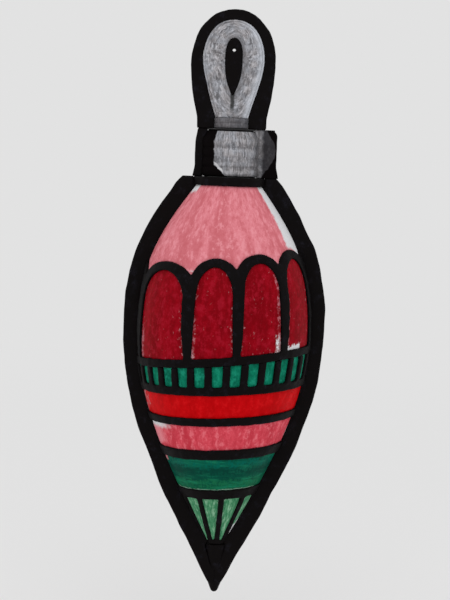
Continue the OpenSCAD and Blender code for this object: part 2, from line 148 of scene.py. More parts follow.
def shift_vertices(piece: Piece, wanted: Callable[[Vector, Vector], bool],
                   sideways: float, rounding: float = 0.0, segments: int = 6) -> None:
    """Moves some of a piece's vertices along X.

    Args:
        piece: The piece.
        wanted: Tells from a vertex's place and normal whether to move it.
        sideways: How far they move.
        rounding: Radius that the edges between them get, if any.
        segments: Faces across that rounding.
    """
    pick_vertices(piece, wanted)
    bpy.ops.transform.translate(value=(sideways, 0, 0))
    if rounding > 0:
        bpy.ops.mesh.select_mode(type="VERT")
        bpy.ops.mesh.bevel(offset=rounding, segments=segments)
    bpy.ops.object.mode_set(mode="OBJECT")


def add_modifier(piece: Piece, kind: str, **settings: object) -> None:
    """Adds a modifier of a kind, with values of its own properties."""
    modifier = piece.modifiers.new(kind.title(), kind)
    for name, value in settings.items():
        setattr(modifier, name, value)


def apply_modifiers(piece: Piece) -> None:
    """Applies every modifier of a piece, in order."""
    take_up(piece)
    for name in [modifier.name for modifier in piece.modifiers]:
        bpy.ops.object.modifier_apply(modifier=name)


def copy_of(node: str, name: str) -> Piece:
    """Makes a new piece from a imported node's shape, with its loose triangles joined up.

    Args:
        node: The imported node.
        name: Name of the new piece.

    Returns:
        The new piece, which has no finish and rides on nothing yet.
    """
    source = bpy.data.objects[node]
    piece = bpy.data.objects.new(name, source.data.copy())
    piece.data.name = name
    piece.data.materials.clear()
    bpy.context.scene.collection.objects.link(piece)
    take_up(piece)
    bpy.ops.mesh.customdata_custom_splitnormals_clear()
    bpy.ops.object.mode_set(mode="EDIT")
    bpy.ops.mesh.select_all(action="SELECT")
    bpy.ops.mesh.remove_doubles(threshold=LEAST)
    bpy.ops.mesh.normals_make_consistent(inside=False)
    bpy.ops.object.mode_set(mode="OBJECT")
    return piece


def swell(piece: Piece, amount: float) -> None:
    """Moves a piece's surface outwards by an amount along its normals."""
    add_modifier(piece, "DISPLACE", strength=amount, mid_level=0.0)


def soften(piece: Piece, voxel: float, passes: int) -> None:
    """Rebuilds a piece in even small faces and rounds its edges.

    Args:
        piece: The piece, a closed shape.
        voxel: Size of the new faces.
        passes: Rounds of smoothing, which set the edge's radius.
    """
    add_modifier(piece, "REMESH", mode="VOXEL", voxel_size=voxel, use_smooth_shade=True)
    add_modifier(piece, "SMOOTH", factor=0.5, iterations=passes)


def waver(piece: Piece, length: float, depth: float, inward_share: float) -> None:
    """Gives a piece the slightly uneven surface of a line drawn by hand.

    Args:
        piece: The piece.
        length: Length of one unevenness.
        depth: Height from its lowest to its highest places.
        inward_share: Share of the depth that goes into the piece.
    """
    clouds = bpy.data.textures.new("hand_waver", "CLOUDS")
    clouds.noise_scale = length
    clouds.noise_depth = 1
    add_modifier(piece, "DISPLACE", texture=clouds, texture_coords="LOCAL", strength=depth,
                 mid_level=inward_share)


def round_off(piece: Piece, swell_by: float, voxel: float, passes: int, *wave: float) -> Piece:
    """Rounds a piece's edges, and makes its surface waver where a wave is given.

    Args:
        piece: The piece, a closed shape.
        swell_by: How far it swells before that.
        voxel: Size of its new faces.
        passes: Rounds of smoothing, which set the edge's radius.
        *wave: Length, depth and inward share of its unevenness, or nothing.

    Returns:
        The piece.
    """
    if swell_by > 0:
        swell(piece, swell_by)
    soften(piece, voxel, passes)
    if wave:
        waver(piece, *wave)
    apply_modifiers(piece)
    return piece


def lathe(name: str, outline: list[Point], steps: int, crisp: float = 35.0,
          bevel: Span | None = None) -> Piece:
    """Turns a closed outline round the Z axis.

    Args:
        name: Name of the new piece.
        outline: Corners of the outline as (radius, height), in order round it.
        steps: Faces in a full turn.
        crisp: Least angle of an edge that stays crisp, in degrees.
        bevel: Width of the bevel on its edges and the least angle of those that get it.

    Returns:
        The turned piece.
    """
    deselect_all()
    first_r, first_z = outline[0]
    bpy.ops.mesh.primitive_plane_add(size=MM, location=(first_r, 0, first_z))
    piece = bpy.context.object
    bpy.ops.object.transform_apply(location=True, rotation=True, scale=True)
    bpy.ops.object.mode_set(mode="EDIT")
    bpy.ops.mesh.select_all(action="SELECT")
    bpy.ops.mesh.merge(type="CENTER")
    for (r, z), (next_r, next_z) in zip(outline, outline[1:] + outline[:1]):
        step = (next_r - r, 0, next_z - z)
        bpy.ops.mesh.extrude_vertices_move(TRANSFORM_OT_translate={"value": step})
    bpy.ops.mesh.select_all(action="SELECT")
    bpy.ops.mesh.spin(steps=steps, angle=2 * math.pi, center=(0, 0, 0), axis=(0, 0, 1))
    bpy.ops.mesh.select_all(action="SELECT")
    bpy.ops.mesh.remove_doubles(threshold=LEAST)
    bpy.ops.mesh.normals_make_consistent(inside=False)
    bpy.ops.object.mode_set(mode="OBJECT")
    piece.name = name
    piece.data.name = name
    if bevel is not None:
        add_modifier(piece, "BEVEL", width=bevel[0], segments=2, limit_method="ANGLE",
                     angle_limit=math.radians(bevel[1]))
        apply_modifiers(piece)
    bpy.ops.object.shade_smooth_by_angle(angle=math.radians(crisp))
    return piece


def arc(centre: Point, radius: float, start: float, end: float, steps: int) -> list[Point]:
    """Points along an arc of a circle in an outline.

    Args:
        centre: The circle's centre.
        radius: Its radius.
        start: Angle of the first point, in degrees from outwards, up.
        end: Angle of the last point.
        steps: Parts that the arc is cut into.

    Returns:
        The points, both ends included.
    """
    turns = [math.radians(start + (end - start) * i / steps) for i in range(steps + 1)]
    return [(centre[0] + radius * math.cos(turn), centre[1] + radius * math.sin(turn))
            for turn in turns]


def press_flat(piece: Piece, level: float, way: int) -> None:
    """Presses a piece's rounded foot or top flat, so that it lies close to its neighbour.

    Args:
        piece: The piece.
        level: Height of the flat.
        way: TOP or FOOT.
    """
    pick_vertices(piece, lambda place, normal: abs(place.z - level) < PRESS_REACH
                  and way * normal.z > LEVEL_ENOUGH)
    bpy.ops.transform.resize(value=(1, 1, 0), center_override=(0, 0, level))
    bpy.ops.object.mode_set(mode="OBJECT")


def points_of(piece: Piece) -> np.ndarray:
    """The places of a piece's vertices, one row each."""
    places = np.empty(len(piece.data.vertices) * 3)
    piece.data.vertices.foreach_get("co", places)
    return places.reshape(-1, 3)


def write_attribute(piece: Piece, name: str, values: np.ndarray) -> None:
    """Stores one number for each vertex of a piece, for its finish to read."""
    attribute = piece.data.attributes.new(name, "FLOAT", "POINT")
    attribute.data.foreach_set("value", values.astype(np.float32))


def fit_between(values: np.ndarray, keys: np.ndarray, step: float) -> np.ndarray:
    """Where each value lies between the lowest and the highest of its neighbours by key.

    Args:
        values: The values.
        keys: What the neighbours are found by, such as the height.
        step: Size of a neighbourhood.

    Returns:
        0 at the lowest and 1 at the highest of the neighbourhood, for each value.
    """
    bins = np.floor((keys - keys.min()) / step).astype(int)
    count = bins.max() + 1
    low = np.full(count, np.inf)
    high = np.full(count, -np.inf)
    np.minimum.at(low, bins, values)
    np.maximum.at(high, bins, values)
    filled = np.isfinite(low)
    middles = (np.arange(count)[filled] + 0.5) * step + keys.min()
    low_here = np.interp(keys, middles, low[filled])
    high_here = np.interp(keys, middles, high[filled])
    return np.clip((values - low_here) / np.maximum(high_here - low_here, LEAST), 0, 1)


def chart_field(piece: Piece, side: Side) -> None:
    """Stores how far across and how far down its field each vertex of a colour field lies.

    Args:
        piece: The field, part of a body round the Z axis.
        side: The half that it is on.
    """
    x, y, z = points_of(piece).T
    turn = np.arctan2(x * side.hand, -y * side.hand)
    write_attribute(piece, "across", 2 * fit_between(turn, z, ROW_H) - 1)
    write_attribute(piece, "down", 1 - fit_between(z, turn, COLUMN_TURN))


# Finishes


class NodeSheet:
    """The nodes of one material, with short calls for the steps that the finishes share."""

    def __init__(self, name: str) -> None:
        """Starts a material with a plain Principled surface."""
        self.material = bpy.data.materials.new(name)
        self.material.use_nodes = True
        self.tree = self.material.node_tree
        self.surface = self.tree.nodes["Principled BSDF"]

    def feed(self, socket: Socket, value: object) -> None:
        """Links a socket to another node's output, or sets it to a number or a colour."""
        if isinstance(value, Socket):
            self.tree.links.new(value, socket)
        elif isinstance(value, tuple) and len(value) == 3 and socket.type == "RGBA":
            socket.default_value = (*value, 1.0)
        else:
            socket.default_value = value

    def step(self, kind: str, inputs: dict[int | str, object], output: int | str = 0,
             **settings: object) -> Socket:
        """Adds a node and feeds its inputs.

        Args:
            kind: The node's type, without the ShaderNode before it.
            inputs: What goes into each input, by its place or name.
            output: Place or name of the output that is wanted.
            **settings: The node's own settings.

        Returns:
            The output.
        """
        node = self.tree.nodes.new(f"ShaderNode{kind}")
        for name, value in settings.items():
            setattr(node, name, value)
        for key, value in inputs.items():
            self.feed(node.inputs[key], value)
        return node.outputs[output]

    def sum(self, operation: str, *values: object) -> Socket:
        """Works out one sum of the Math node, from numbers or sockets."""
        return self.step("Math", dict(enumerate(values)), operation=operation)

    def times(self, *values: object) -> Socket:
        """The product of two or more values."""
        return reduce(lambda first, second: self.sum("MULTIPLY", first, second), values)

    def plus(self, *values: object) -> Socket:
        """The sum of two or more values."""
        return reduce(lambda first, second: self.sum("ADD", first, second), values)

    def most(self, *values: object) -> Socket:
        """The largest of two or more values."""
        return reduce(lambda first, second: self.sum("MAXIMUM", first, second), values)

    def minus(self, first: object, second: object) -> Socket:
        """The first value less the second."""
        return self.sum("SUBTRACT", first, second)

    def vector(self, operation: str, first: object, second: object) -> Socket:
        """Works out one sum of the Vector Math node, whose second value may be a scale."""
        other = "Scale" if operation == "SCALE" else 1
        return self.step("VectorMath", {0: first, other: second}, operation=operation)

    def attribute(self, name: str) -> Socket:
        """Reads a number that the piece stores for each vertex."""
        return self.step("Attribute", {}, "Fac", attribute_name=name)

    def place(self) -> Socket:
        """The place on the object, in millimetres."""
        return self.vector("SCALE", self.step("TexCoord", {}, "Object"), PER_MM)

    def split(self, vector: Socket) -> tuple[Socket, ...]:
        """The three parts of a vector."""
        return tuple(self.step("SeparateXYZ", {0: vector}).node.outputs)

    def join(self, *parts: object) -> Socket:
        """A vector from its three parts."""
        return self.step("CombineXYZ", dict(enumerate(parts)))

    def reach(self) -> Socket:
        """Distance from the Z axis, in millimetres."""
        x, y, _ = self.split(self.place())
        return self.sum("SQRT", self.plus(self.times(x, x), self.times(y, y)))

    def facing(self) -> Socket:
        """Sine of the angle round the Z axis, -1 at the left and 1 at the right."""
        return self.sum("DIVIDE", self.split(self.place())[0], self.most(self.reach(), 0.01))

    def wrapped(self, around: float, along: float) -> Socket:
        """Coordinates on a drum round the Z axis, so that no stroke is drawn out at the sides.

        Args:
            around: Stretch round the drum, where 1 is true size on a drum of drum_r.
            along: Stretch along it.

        Returns:
            The vector.
        """
        drum_r = 18.0
        x, y, z = self.split(self.place())
        scale = self.sum("DIVIDE", drum_r * around, self.most(self.reach(), 0.01))
        return self.join(self.times(x, scale), self.times(y, scale), self.times(z, along))

    def noise(self, at: Socket, size: float, detail: float = 2.0, roughness: float = 0.5,
              output: str = "Fac") -> Socket:
        """Soft unevenness from 0 to 1, with spots of a size in millimetres."""
        return self.step("TexNoise", {"Vector": at, "Scale": 1 / size, "Detail": detail,
                                      "Roughness": roughness}, output)

    def drifted(self, at: Socket, size: float, amount: float) -> Socket:
        """Bends coordinates by soft unevenness, so that no stroke runs dead straight.

        Args:
            at: The coordinates.
            size: Size of the bends.
            amount: How far they reach.

        Returns:
            The bent coordinates.
        """
        bends = self.noise(at, size, output="Color")
        centred = self.vector("SUBTRACT", bends, (0.5, 0.5, 0.5))
        return self.vector("ADD", at, self.vector("SCALE", centred, amount))

    def sway(self, size: float, amount: float, detail: float = 2.0,
             roughness: float = 0.5) -> Socket:
        """Soft unevenness round 0, with spots of a size in millimetres."""
        spots = self.noise(self.place(), size, detail, roughness)
        return self.times(self.minus(spots, 0.5), amount)

    def rise(self, value: object, low: float, high: float) -> Socket:
        """Goes smoothly from 0 at the low value to 1 at the high one, either way round."""
        start, end = sorted((low, high))
        first, last = (0.0, 1.0) if low < high else (1.0, 0.0)
        return self.step("MapRange", {"Value": value, "From Min": start, "From Max": end,
                                      "To Min": first, "To Max": last},
                         interpolation_type="SMOOTHSTEP")

    def mix(self, share: object, first: object, second: object, blend: str = "MIX") -> Socket:
        """Blends two colours, from the first at 0 to the second at 1."""
        return self.step("Mix", {"Factor": share, 6: first, 7: second}, 2, data_type="RGBA",
                         blend_type=blend)

    def lay(self, colour: object, tone: object, mask: object, share: float = 1.0) -> Socket:
        """Lays a tone over a colour where a mask shows, at a share of its full strength."""
        return self.mix(self.times(mask, share), colour, tone)

    def tinted(self, colour: object, size: float, amount: float) -> Socket:
        """Turns a colour slightly warm in some places and slightly cool in others.

        Args:
            colour: The colour.
            size: Size of the places in millimetres.
            amount: How strongly it turns, from 0 to 1.

        Returns:
            The tinted colour.
        """
        warm, cool = (1.06, 0.98, 0.94), (0.93, 1.0, 1.08)
        share = self.rise(self.noise(self.place(), size), 0.36, 0.64)
        return self.mix(amount, colour, self.mix(share, warm, cool), "MULTIPLY")

    def bump(self, height: object, depth: float) -> None:
        """Raises the surface by a height map, whose depth is in millimetres."""
        raised = self.step("Bump", {"Height": height, "Distance": depth * MM})
        self.feed(self.surface.inputs["Normal"], raised)

    def dress(self, **values: object) -> None:
        """Sets or links inputs of the surface, named in words joined by underscores."""
        names = {key.name.lower().replace(" ", "_"): key for key in self.surface.inputs}
        for name, value in values.items():
            self.feed(names[name], value)


@dataclass(frozen=True)
class Patch:
    """A place in a colour field that the colour leaves bare, or that has another colour.

    Attributes:
        across: From where to where across the field, -1 at the left and 1 at the right.
        down: From where to where down the field, 0 at the top and 1 at the bottom.
        colour: What shows there.
        fade: Width of its soft edge, as a share of the field.
        ragged: How far noise breaks its edge up.
        speckled: How far it breaks up into specks, from 0 to 1.
    """

    across: Span
    down: Span
    colour: Colour = BARE_WHITE
    fade: float = 0.06
    ragged: float = 0.12
    speckled: float = 0.0

    @property
    def whole_width(self) -> bool:
        """True for a band that runs right across the field."""
        return self.across[1] - self.across[0] > 2

    def mask(self, sheet: NodeSheet, breakup: Socket) -> Socket:
        """Draws the patch.

        Args:
            sheet: The material's nodes.
            breakup: Noise from 0 to 1 that makes the edge ragged.

        Returns:
            1 in the patch and 0 outside it.
        """
        shift = sheet.times(sheet.minus(breakup, 0.5), self.ragged * 2)
        inside: object = 1.0
        for name, (low, high) in (("across", self.across), ("down", self.down)):
            value = sheet.plus(sheet.attribute(name), shift)
            inside = sheet.times(inside, sheet.rise(value, low - self.fade, low),
                                 sheet.rise(value, high + self.fade, high))
        if self.speckled > 0:
            specks = sheet.rise(sheet.noise(sheet.wrapped(1.0, 0.6), 0.8, 3.0, 0.7), 0.47, 0.58)
            inside = sheet.times(inside, sheet.plus(sheet.times(specks, self.speckled),
                                                    1 - self.speckled))
        return inside


@dataclass(frozen=True)
class InkEnamel:
    """A coloured enamel laid in strokes by hand, with thin and overlapping places.

    Attributes:
        name: Name of the finish.
        slot: The record's material slot.
        base: The colour.
        deep: The colour where strokes overlap.
        pale: The colour where it is thin.
        grain: Which way the strokes run.
        stroke: Width of a stroke in millimetres.
        deep_share: How strongly the overlaps show.
        pale_share: How strongly the thin places show.
        blotch_share: How strongly soft blotches a millimetre wide show.
        flecks: How many pale flecks there are, 0 for none, most of them by the edges.
        end_colour: The colour at both ends of a stripe, if it differs.
        patches: Bare or other-coloured places.
    """

    name: str
    slot: str
    base: Colour
    deep: Colour
    pale: Colour
    grain: Grain = Grain.UPRIGHT
    stroke: float = 1.6
    deep_share: float = 0.8
    pale_share: float = 0.5
    blotch_share: float = 0.6
    flecks: float = 0.0
    end_colour: Colour | None = None
    patches: tuple[Patch, ...] = ()

    def material(self) -> Material:
        """Builds the finish."""
        sheet = NodeSheet(self.name)
        upright = self.grain is Grain.UPRIGHT
        around, along = (1.0, 0.16) if upright else (0.12, 1.0)
        place = sheet.place()
        strokes = sheet.drifted(sheet.wrapped(around, along), 6.0, 3.0)
        fibres = sheet.drifted(sheet.wrapped(around, along * 1.6), 2.0, 0.7)
        overlap = sheet.rise(sheet.noise(strokes, self.stroke, 2.0), 0.36, 0.68)
        thin = sheet.rise(sheet.noise(fibres, self.stroke * 0.3, 3.0, 0.7), 0.46, 0.74)
        mottle = sheet.noise(place, 0.55, 4.0, 0.75)
        tooth = sheet.rise(mottle, 0.40, 0.64)
        colour = self.base
        if self.end_colour is not None:
            ends = sheet.rise(sheet.sum("ABSOLUTE", sheet.attribute("across")), 0.42, 0.8)
            colour = sheet.mix(ends, colour, self.end_colour)
        colour = sheet.lay(colour, self.deep, overlap, self.deep_share)
        colour = sheet.lay(colour, self.pale, sheet.times(thin, tooth), self.pale_share)
        grained = sheet.rise(mottle, 0.5, 0.34)
        colour = sheet.lay(colour, self.deep, grained, 0.5 * self.deep_share)
        blotch = sheet.noise(sheet.wrapped(around, 0.5 * (along + 1)), 1.3, 3.0, 0.7)
        for end, tone in ((0.66, self.pale), (0.34, self.deep)):
            colour = sheet.lay(colour, tone, sheet.rise(blotch, 0.5, end), self.blotch_share)
        if self.flecks > 0:
            colour = sheet.mix(self.fleck_mask(sheet), colour, PALE_ROSE)
        breakup = sheet.noise(place, 1.2, 4.0, 0.65)
        for patch in self.patches:
            colour = sheet.mix(patch.mask(sheet, breakup), colour, patch.colour)
        rough = sheet.plus(sheet.times(mottle, 0.3), 0.34)
        sheet.dress(base_color=colour, roughness=rough, specular_ior_level=0.03)
        sheet.bump(sheet.plus(mottle, sheet.times(overlap, 0.5)), 0.03)
        return sheet.material

    def unmarked(self) -> "InkEnamel":
        """The same finish without its bare places, for the side that the picture doesn't show."""
        tones = tuple(patch for patch in self.patches if patch.whole_width)
        return replace(self, name=f"{self.name}_rear", patches=tones)

    def fleck_mask(self, sheet: NodeSheet) -> Socket:
        """Small ragged flecks in loose groups, most of them by the field's sides and foot."""
        place = sheet.place()
        specks = sheet.noise(sheet.drifted(sheet.wrapped(1.0, 0.5), 0.8, 0.5), 0.62, 3.0, 0.6)
        groups = sheet.rise(sheet.noise(place, 3.2, 1.0), 0.45, 0.7)
        side = sheet.rise(sheet.sum("ABSOLUTE", sheet.attribute("across")), 0.74, 0.99)
        low = sheet.rise(sheet.attribute("down"), 0.45, 1.0)
        near = sheet.plus(sheet.times(side, 0.13), sheet.times(low, 0.03),
                          sheet.times(groups, 0.05))
        level = sheet.plus(specks, sheet.times(near, self.flecks))
        return sheet.times(sheet.rise(level, 0.67, 0.80), 0.5)


@dataclass(frozen=True)
class BlackEnamel:
    """The black of the rims, ridges and edging, laid on in thick strokes.

    Attributes:
        name: Name of the finish.
        base: The black.
        sheen: Its colour where a stroke is thinner.
    """

    name: str = "black_line_enamel"
    base: Colour = INK_BLACK
    sheen: Colour = (0.0110, 0.0100, 0.0150)

    def material(self) -> Material:
        """Builds the finish."""
        sheet = NodeSheet(self.name)
        place = sheet.place()
        strokes = sheet.noise(place, 2.6, 3.0, 0.55)
        grit = sheet.noise(place, 0.5, 3.0, 0.6)
        share = sheet.times(sheet.rise(strokes, 0.5, 0.75), sheet.rise(grit, 0.3, 0.7))
        rough = sheet.plus(sheet.times(strokes, 0.35), 0.36)
        sheet.dress(base_color=sheet.mix(share, self.base, self.sheen), roughness=rough,
                    specular_ior_level=0.05)
        sheet.bump(sheet.plus(strokes, sheet.times(grit, 0.3)), 0.05)
        return sheet.material


@dataclass(frozen=True)
class BrushedSilver:
    """Silver plate with uneven brushed streaks and bright flecks.

    Attributes:
        name: Name of the finish.
        base: The plate's colour.
        shade: Its colour in the dull streaks.
        light: Its colour in the bright streaks.
        streak: Width of a streak in millimetres.
        metallic: How metallic it is.
    """

    name: str
    base: Colour = (0.275, 0.271, 0.285)
    shade: Colour = (0.092, 0.089, 0.093)
    light: Colour = (0.68, 0.68, 0.72)
    streak: float = 0.55
    metallic: float = 0.45

    def streak_space(self, sheet: NodeSheet) -> Socket:
        """Coordinates that are drawn out along the streaks, which run upright."""
        return sheet.wrapped(1.0, 0.25)

    def plate(self, sheet: NodeSheet) -> Socket:
        """The plate's colour with its streaks."""
        space = sheet.drifted(self.streak_space(sheet), 3.0, 0.5)
        broad = sheet.noise(sheet.place(), 2.4, 2.0, 0.6)
        dull = sheet.rise(sheet.noise(space, self.streak * 2.2, 3.0, 0.65), 0.44, 0.68)
        bright = sheet.rise(sheet.noise(space, self.streak * 1.2, 4.0, 0.75), 0.47, 0.70)
        fibres = sheet.noise(space, self.streak * 0.7, 3.0, 0.7)
        specks = sheet.noise(sheet.place(), 0.7, 4.0, 0.8)
        colour = self.base
        for tone, mask, share in (
                (self.light, sheet.rise(broad, 0.42, 0.64), 0.3), (self.shade, dull, 0.8),
                (self.light, bright, 0.8), (self.shade, sheet.rise(fibres, 0.50, 0.30), 0.8),
                (self.light, sheet.rise(specks, 0.52, 0.78), 0.9)):
            colour = sheet.lay(colour, tone, mask, share)
        return sheet.tinted(colour, 3.0, 0.35)

    def finish(self, sheet: NodeSheet, colour: Socket, painted: Socket | None = None) -> Material:
        """Sets the surface for a colour.

        Args:
            sheet: The material's nodes.
            colour: The colour.
            painted: 1 where black enamel covers the silver.

        Returns:
            The material.
        """
        specks = sheet.noise(sheet.place(), 0.45, 2.0, 0.6)
        brush = sheet.noise(self.streak_space(sheet), self.streak * 0.6, 3.0, 0.65)
        rough = sheet.plus(sheet.times(specks, 0.25), 0.36)
        metallic: object = self.metallic
        if painted is not None:
            metallic = sheet.times(sheet.minus(1.0, painted), self.metallic)
            rough = sheet.plus(rough, sheet.times(painted, 0.3))
        sheet.dress(base_color=colour, roughness=rough, metallic=metallic, specular_ior_level=0.02)
        sheet.bump(sheet.plus(specks, sheet.times(brush, 0.8)), 0.05)
        return sheet.material

    def material(self) -> Material:
        """Builds the finish."""
        sheet = NodeSheet(self.name)
        return self.finish(sheet, self.plate(sheet))


@dataclass(frozen=True)
class LoopSilver(BrushedSilver):
    """The loop's silver, with a painted highlight along its outer right edge and painted shade
    beside the slot and down the crease under it.

    Attributes:
        edge_light: Colour of the painted highlight along the outer edge.
        slot_shade: Colour of the painted shade beside the slot.
        crease_shade: Colour of the painted shade down the crease under the slot.
        crease_top: Height of the crease's top, in millimetres.
        crease_foot: Height of its foot.
    """

    # Colour of the painted highlight along the loop's outer edge
    edge_light: Colour = (0.62, 0.65, 0.71)
    slot_shade: Colour = (0.105, 0.100, 0.105)
    crease_shade: Colour = (0.030, 0.032, 0.030)
    crease_top: float = -12.6
    crease_foot: float = -18.4

    def streak_space(self, sheet: NodeSheet) -> Socket:
        """Coordinates that are drawn out along the band, from what it stores for each place."""
        return sheet.join(sheet.times(sheet.attribute("across"), 5.5),
                          sheet.times(sheet.attribute("along"), 0.28), 0.0)

    def crease(self, sheet: NodeSheet) -> Socket:
        """Shade down the crease between the legs, which narrows and fades towards its foot."""
        x, _, z = sheet.split(sheet.place())
        line = sheet.rise(sheet.sum("ABSOLUTE", sheet.plus(x, sheet.sway(1.2, 0.6))), 0.85, 0.25)
        return sheet.times(line, sheet.rise(z, self.crease_foot, self.crease_foot + 1.6),
                           sheet.rise(z, self.crease_top + 0.5, self.crease_top - 0.5), 0.85)

    def material(self) -> Material:
        """Builds the finish."""
        sheet = NodeSheet(self.name)
        colour = self.plate(sheet)
        sideways = sheet.split(sheet.place())[0]
        # Sides that get the painted highlight: the right, and the far left at less strength
        right = sheet.most(sheet.rise(sideways, 1.5, 4.5),
                           sheet.times(sheet.rise(sideways, -6.5, -8.0), 0.4))
        uneven = sheet.noise(sheet.place(), 1.6, 3.0, 0.65)
        spread = sheet.plus(sheet.attribute("across"), sheet.times(uneven, 0.35))
        inner = sheet.rise(spread, 0.52, 0.22)
        # Painted shade beside the slot, stronger towards the right
        slot = sheet.plus(sheet.times(inner, sheet.rise(sideways, -4.0, 2.0), 0.35),
                          sheet.times(inner, 0.2))
        colour = sheet.mix(slot, colour, self.slot_shade)
        # Painted shade down the crease
        colour = sheet.mix(self.crease(sheet), colour, self.crease_shade)
        # Painted highlight along the band's outer edge, on those sides
        edge = sheet.times(sheet.rise(spread, 0.78, 1.12), right)
        return self.finish(sheet, sheet.lay(colour, self.edge_light, edge, 0.8))


@dataclass(frozen=True)
class CapSilver(BrushedSilver):
    """The cap's silver, lapped with black enamel on its left and round its foot, with painted
    shade in its grooves and down its right side and a painted highlight along the top of the lap.

    Attributes:
        foot_z: Height of the cap's foot, in millimetres.
        lap_h: How far the black climbs at the left, in millimetres.
        top_z: Height of the cap's top.
        bands: Height above the foot, half height and strength of each soft band of painted shade
            along the grooves.
    """

    foot_z: float = -37.4
    top_z: float = -23.6
    bands: tuple[Triple, ...] = (
        (9.0, 0.7, 0.45), (5.0, 0.8, 0.7), (2.6, 0.6, 0.6), (0.5, 0.5, 0.5))
    lap_h: float = 3.2

    def material(self) -> Material:
        """Builds the finish."""
        sheet = NodeSheet(self.name)
        height = sheet.minus(sheet.split(sheet.place())[2], self.foot_z)
        # Painted shade along the grooves between the ribs
        colour = sheet.mix(self.grooves(sheet, height), self.plate(sheet), self.shade)
        # Painted shade down the cap's right side
        painted_right_shade = sheet.rise(sheet.facing(), 0.76, 0.94)
        colour = sheet.lay(colour, self.shade, painted_right_shade, 0.55)
        turned = sheet.plus(sheet.facing(), sheet.sway(1.6, 0.16, 3.0, 0.6))
        lap = sheet.times(sheet.rise(turned, -0.1, -0.56), self.lap_h)
        above = sheet.minus(height, lap)
        # Painted highlight: a near-white streak along the top of the black lap at the left
        painted_lap_highlight = sheet.times(sheet.rise(above, 1.3, 0.9), sheet.rise(turned, -0.22, -0.30))
        colour = sheet.lay(colour, BARE_WHITE, painted_lap_highlight, 0.8)
        cap_h = self.top_z - self.foot_z
        lapped = sheet.most(sheet.rise(above, 0.25, 0.05), sheet.rise(turned, -0.53, -0.57),
                            sheet.rise(height, cap_h - 0.5, cap_h - 0.3))
        return self.finish(sheet, sheet.mix(lapped, colour, INK_BLACK), lapped)

    def grooves(self, sheet: NodeSheet, height: Socket) -> Socket:
        """Soft broken shade along the grooves between the ribs.

        Args:
            sheet: The material's nodes.
            height: Height above the cap's foot, in millimetres.

        Returns:
            How strong the shade is, from 0 to 1.
        """
        uneven = sheet.times(sheet.noise(sheet.wrapped(0.5, 0.5), 2.0, 3.0), 1.6)
        raised = sheet.plus(height, sheet.minus(uneven, 0.8))
        broken = sheet.rise(sheet.noise(sheet.wrapped(0.5, 0.9), 1.6, 3.0, 0.7), 0.32, 0.62)
        shade: object = 0.0
        for middle, reach, strength in self.bands:
            off = sheet.sum("ABSOLUTE", sheet.minus(raised, middle))
            band = sheet.rise(off, reach * 1.5, reach * 0.3)
            shade = sheet.most(shade, sheet.times(band, strength))
        return sheet.times(shade, broken)


@dataclass(frozen=True)
class GripSilver(BrushedSilver):
    """The right grip's silver, under painted shade that deepens outwards, with a black edge.

    Attributes:
        foot_z: Height of the grip's foot, in millimetres.
        top_z: Height of its top.
        dark_x: Distance from the axis where the painted shade deepens.
        black_x: Distance where it turns black.
        foot_x: Distance where black starts at the grip's foot.
        head_x: Distance where it starts at the grip's top.
        lean: How steeply the black's edge climbs outwards.
        dark: Colour of the deepest painted shade.
    """

    foot_z: float = -37.4
    top_z: float = -23.3
    # Distance from the axis where the painted shade deepens
    dark_x: float = 9.5
    black_x: float = 13.3
    foot_x: float = 9.5
    head_x: float = 10.4
    lean: float = 1.6
    # Colour of the deepest painted shade
    dark: Colour = (0.020, 0.018, 0.021)

    def material(self) -> Material:
        """Builds the finish."""
        sheet = NodeSheet(self.name)
        x, _, z = sheet.split(sheet.place())
        outwards = sheet.plus(x, sheet.sway(2.2, 1.2))
        # Painted shade: half strength over the whole grip, deeper outwards
        colour = sheet.mix(0.5, self.plate(sheet), self.shade)
        turned = sheet.rise(outwards, self.dark_x - 0.6, self.dark_x + 0.6)
        colour = sheet.lay(colour, self.dark, turned, 0.88)
        lap = sheet.times(sheet.minus(outwards, self.foot_x), self.lean)
        above = sheet.minus(sheet.minus(z, self.foot_z), lap)
        rest = sheet.times(sheet.minus(outwards, self.head_x), self.lean)
        painted = sheet.most(
            sheet.rise(above, 0.3, 0.0),
            sheet.rise(sheet.plus(z, rest), self.top_z, self.top_z + 0.3),
            sheet.rise(outwards, self.black_x - 0.15, self.black_x + 0.15))
        return self.finish(sheet, sheet.mix(painted, colour, INK_BLACK), painted)


@dataclass(frozen=True)
class PlainFinish:
    """A satin finish of one tone with fine wear, for the pieces inside.

    Attributes:
        name: Name of the finish.
        base: Its colour.
        worn: Its colour in rubbed or stained places.
        metallic: How metallic it is.
        roughness: Its mean roughness.
        lap_z: Height in millimetres up to which black enamel laps over it, if it does.
    """

    name: str
    base: Colour
    worn: Colour
    metallic: float = 1.0
    roughness: float = 0.35
    lap_z: float | None = None

    def material(self) -> Material:
        """Builds the finish."""
        sheet = NodeSheet(self.name)
        place = sheet.place()
        rings = sheet.noise(sheet.wrapped(0.08, 3.0), 0.6, 3.0, 0.6)
        stain = sheet.noise(place, 2.4, 4.0, 0.6)
        share = sheet.times(sheet.rise(stain, 0.4, 0.7), 0.7)
        colour = sheet.mix(share, self.base, self.worn)
        metallic: object = self.metallic
        if self.lap_z is not None:
            height = sheet.plus(sheet.split(place)[2], sheet.times(stain, 0.6))
            lapped = sheet.rise(height, self.lap_z + 0.1, self.lap_z - 0.1)
            colour = sheet.mix(lapped, colour, INK_BLACK)
            metallic = sheet.times(sheet.minus(1.0, lapped), self.metallic)
        rough = sheet.plus(sheet.times(rings, 0.2), self.roughness - 0.1)
        sheet.dress(base_color=colour, roughness=rough, metallic=metallic)
        sheet.bump(rings, 0.02)
        return sheet.material


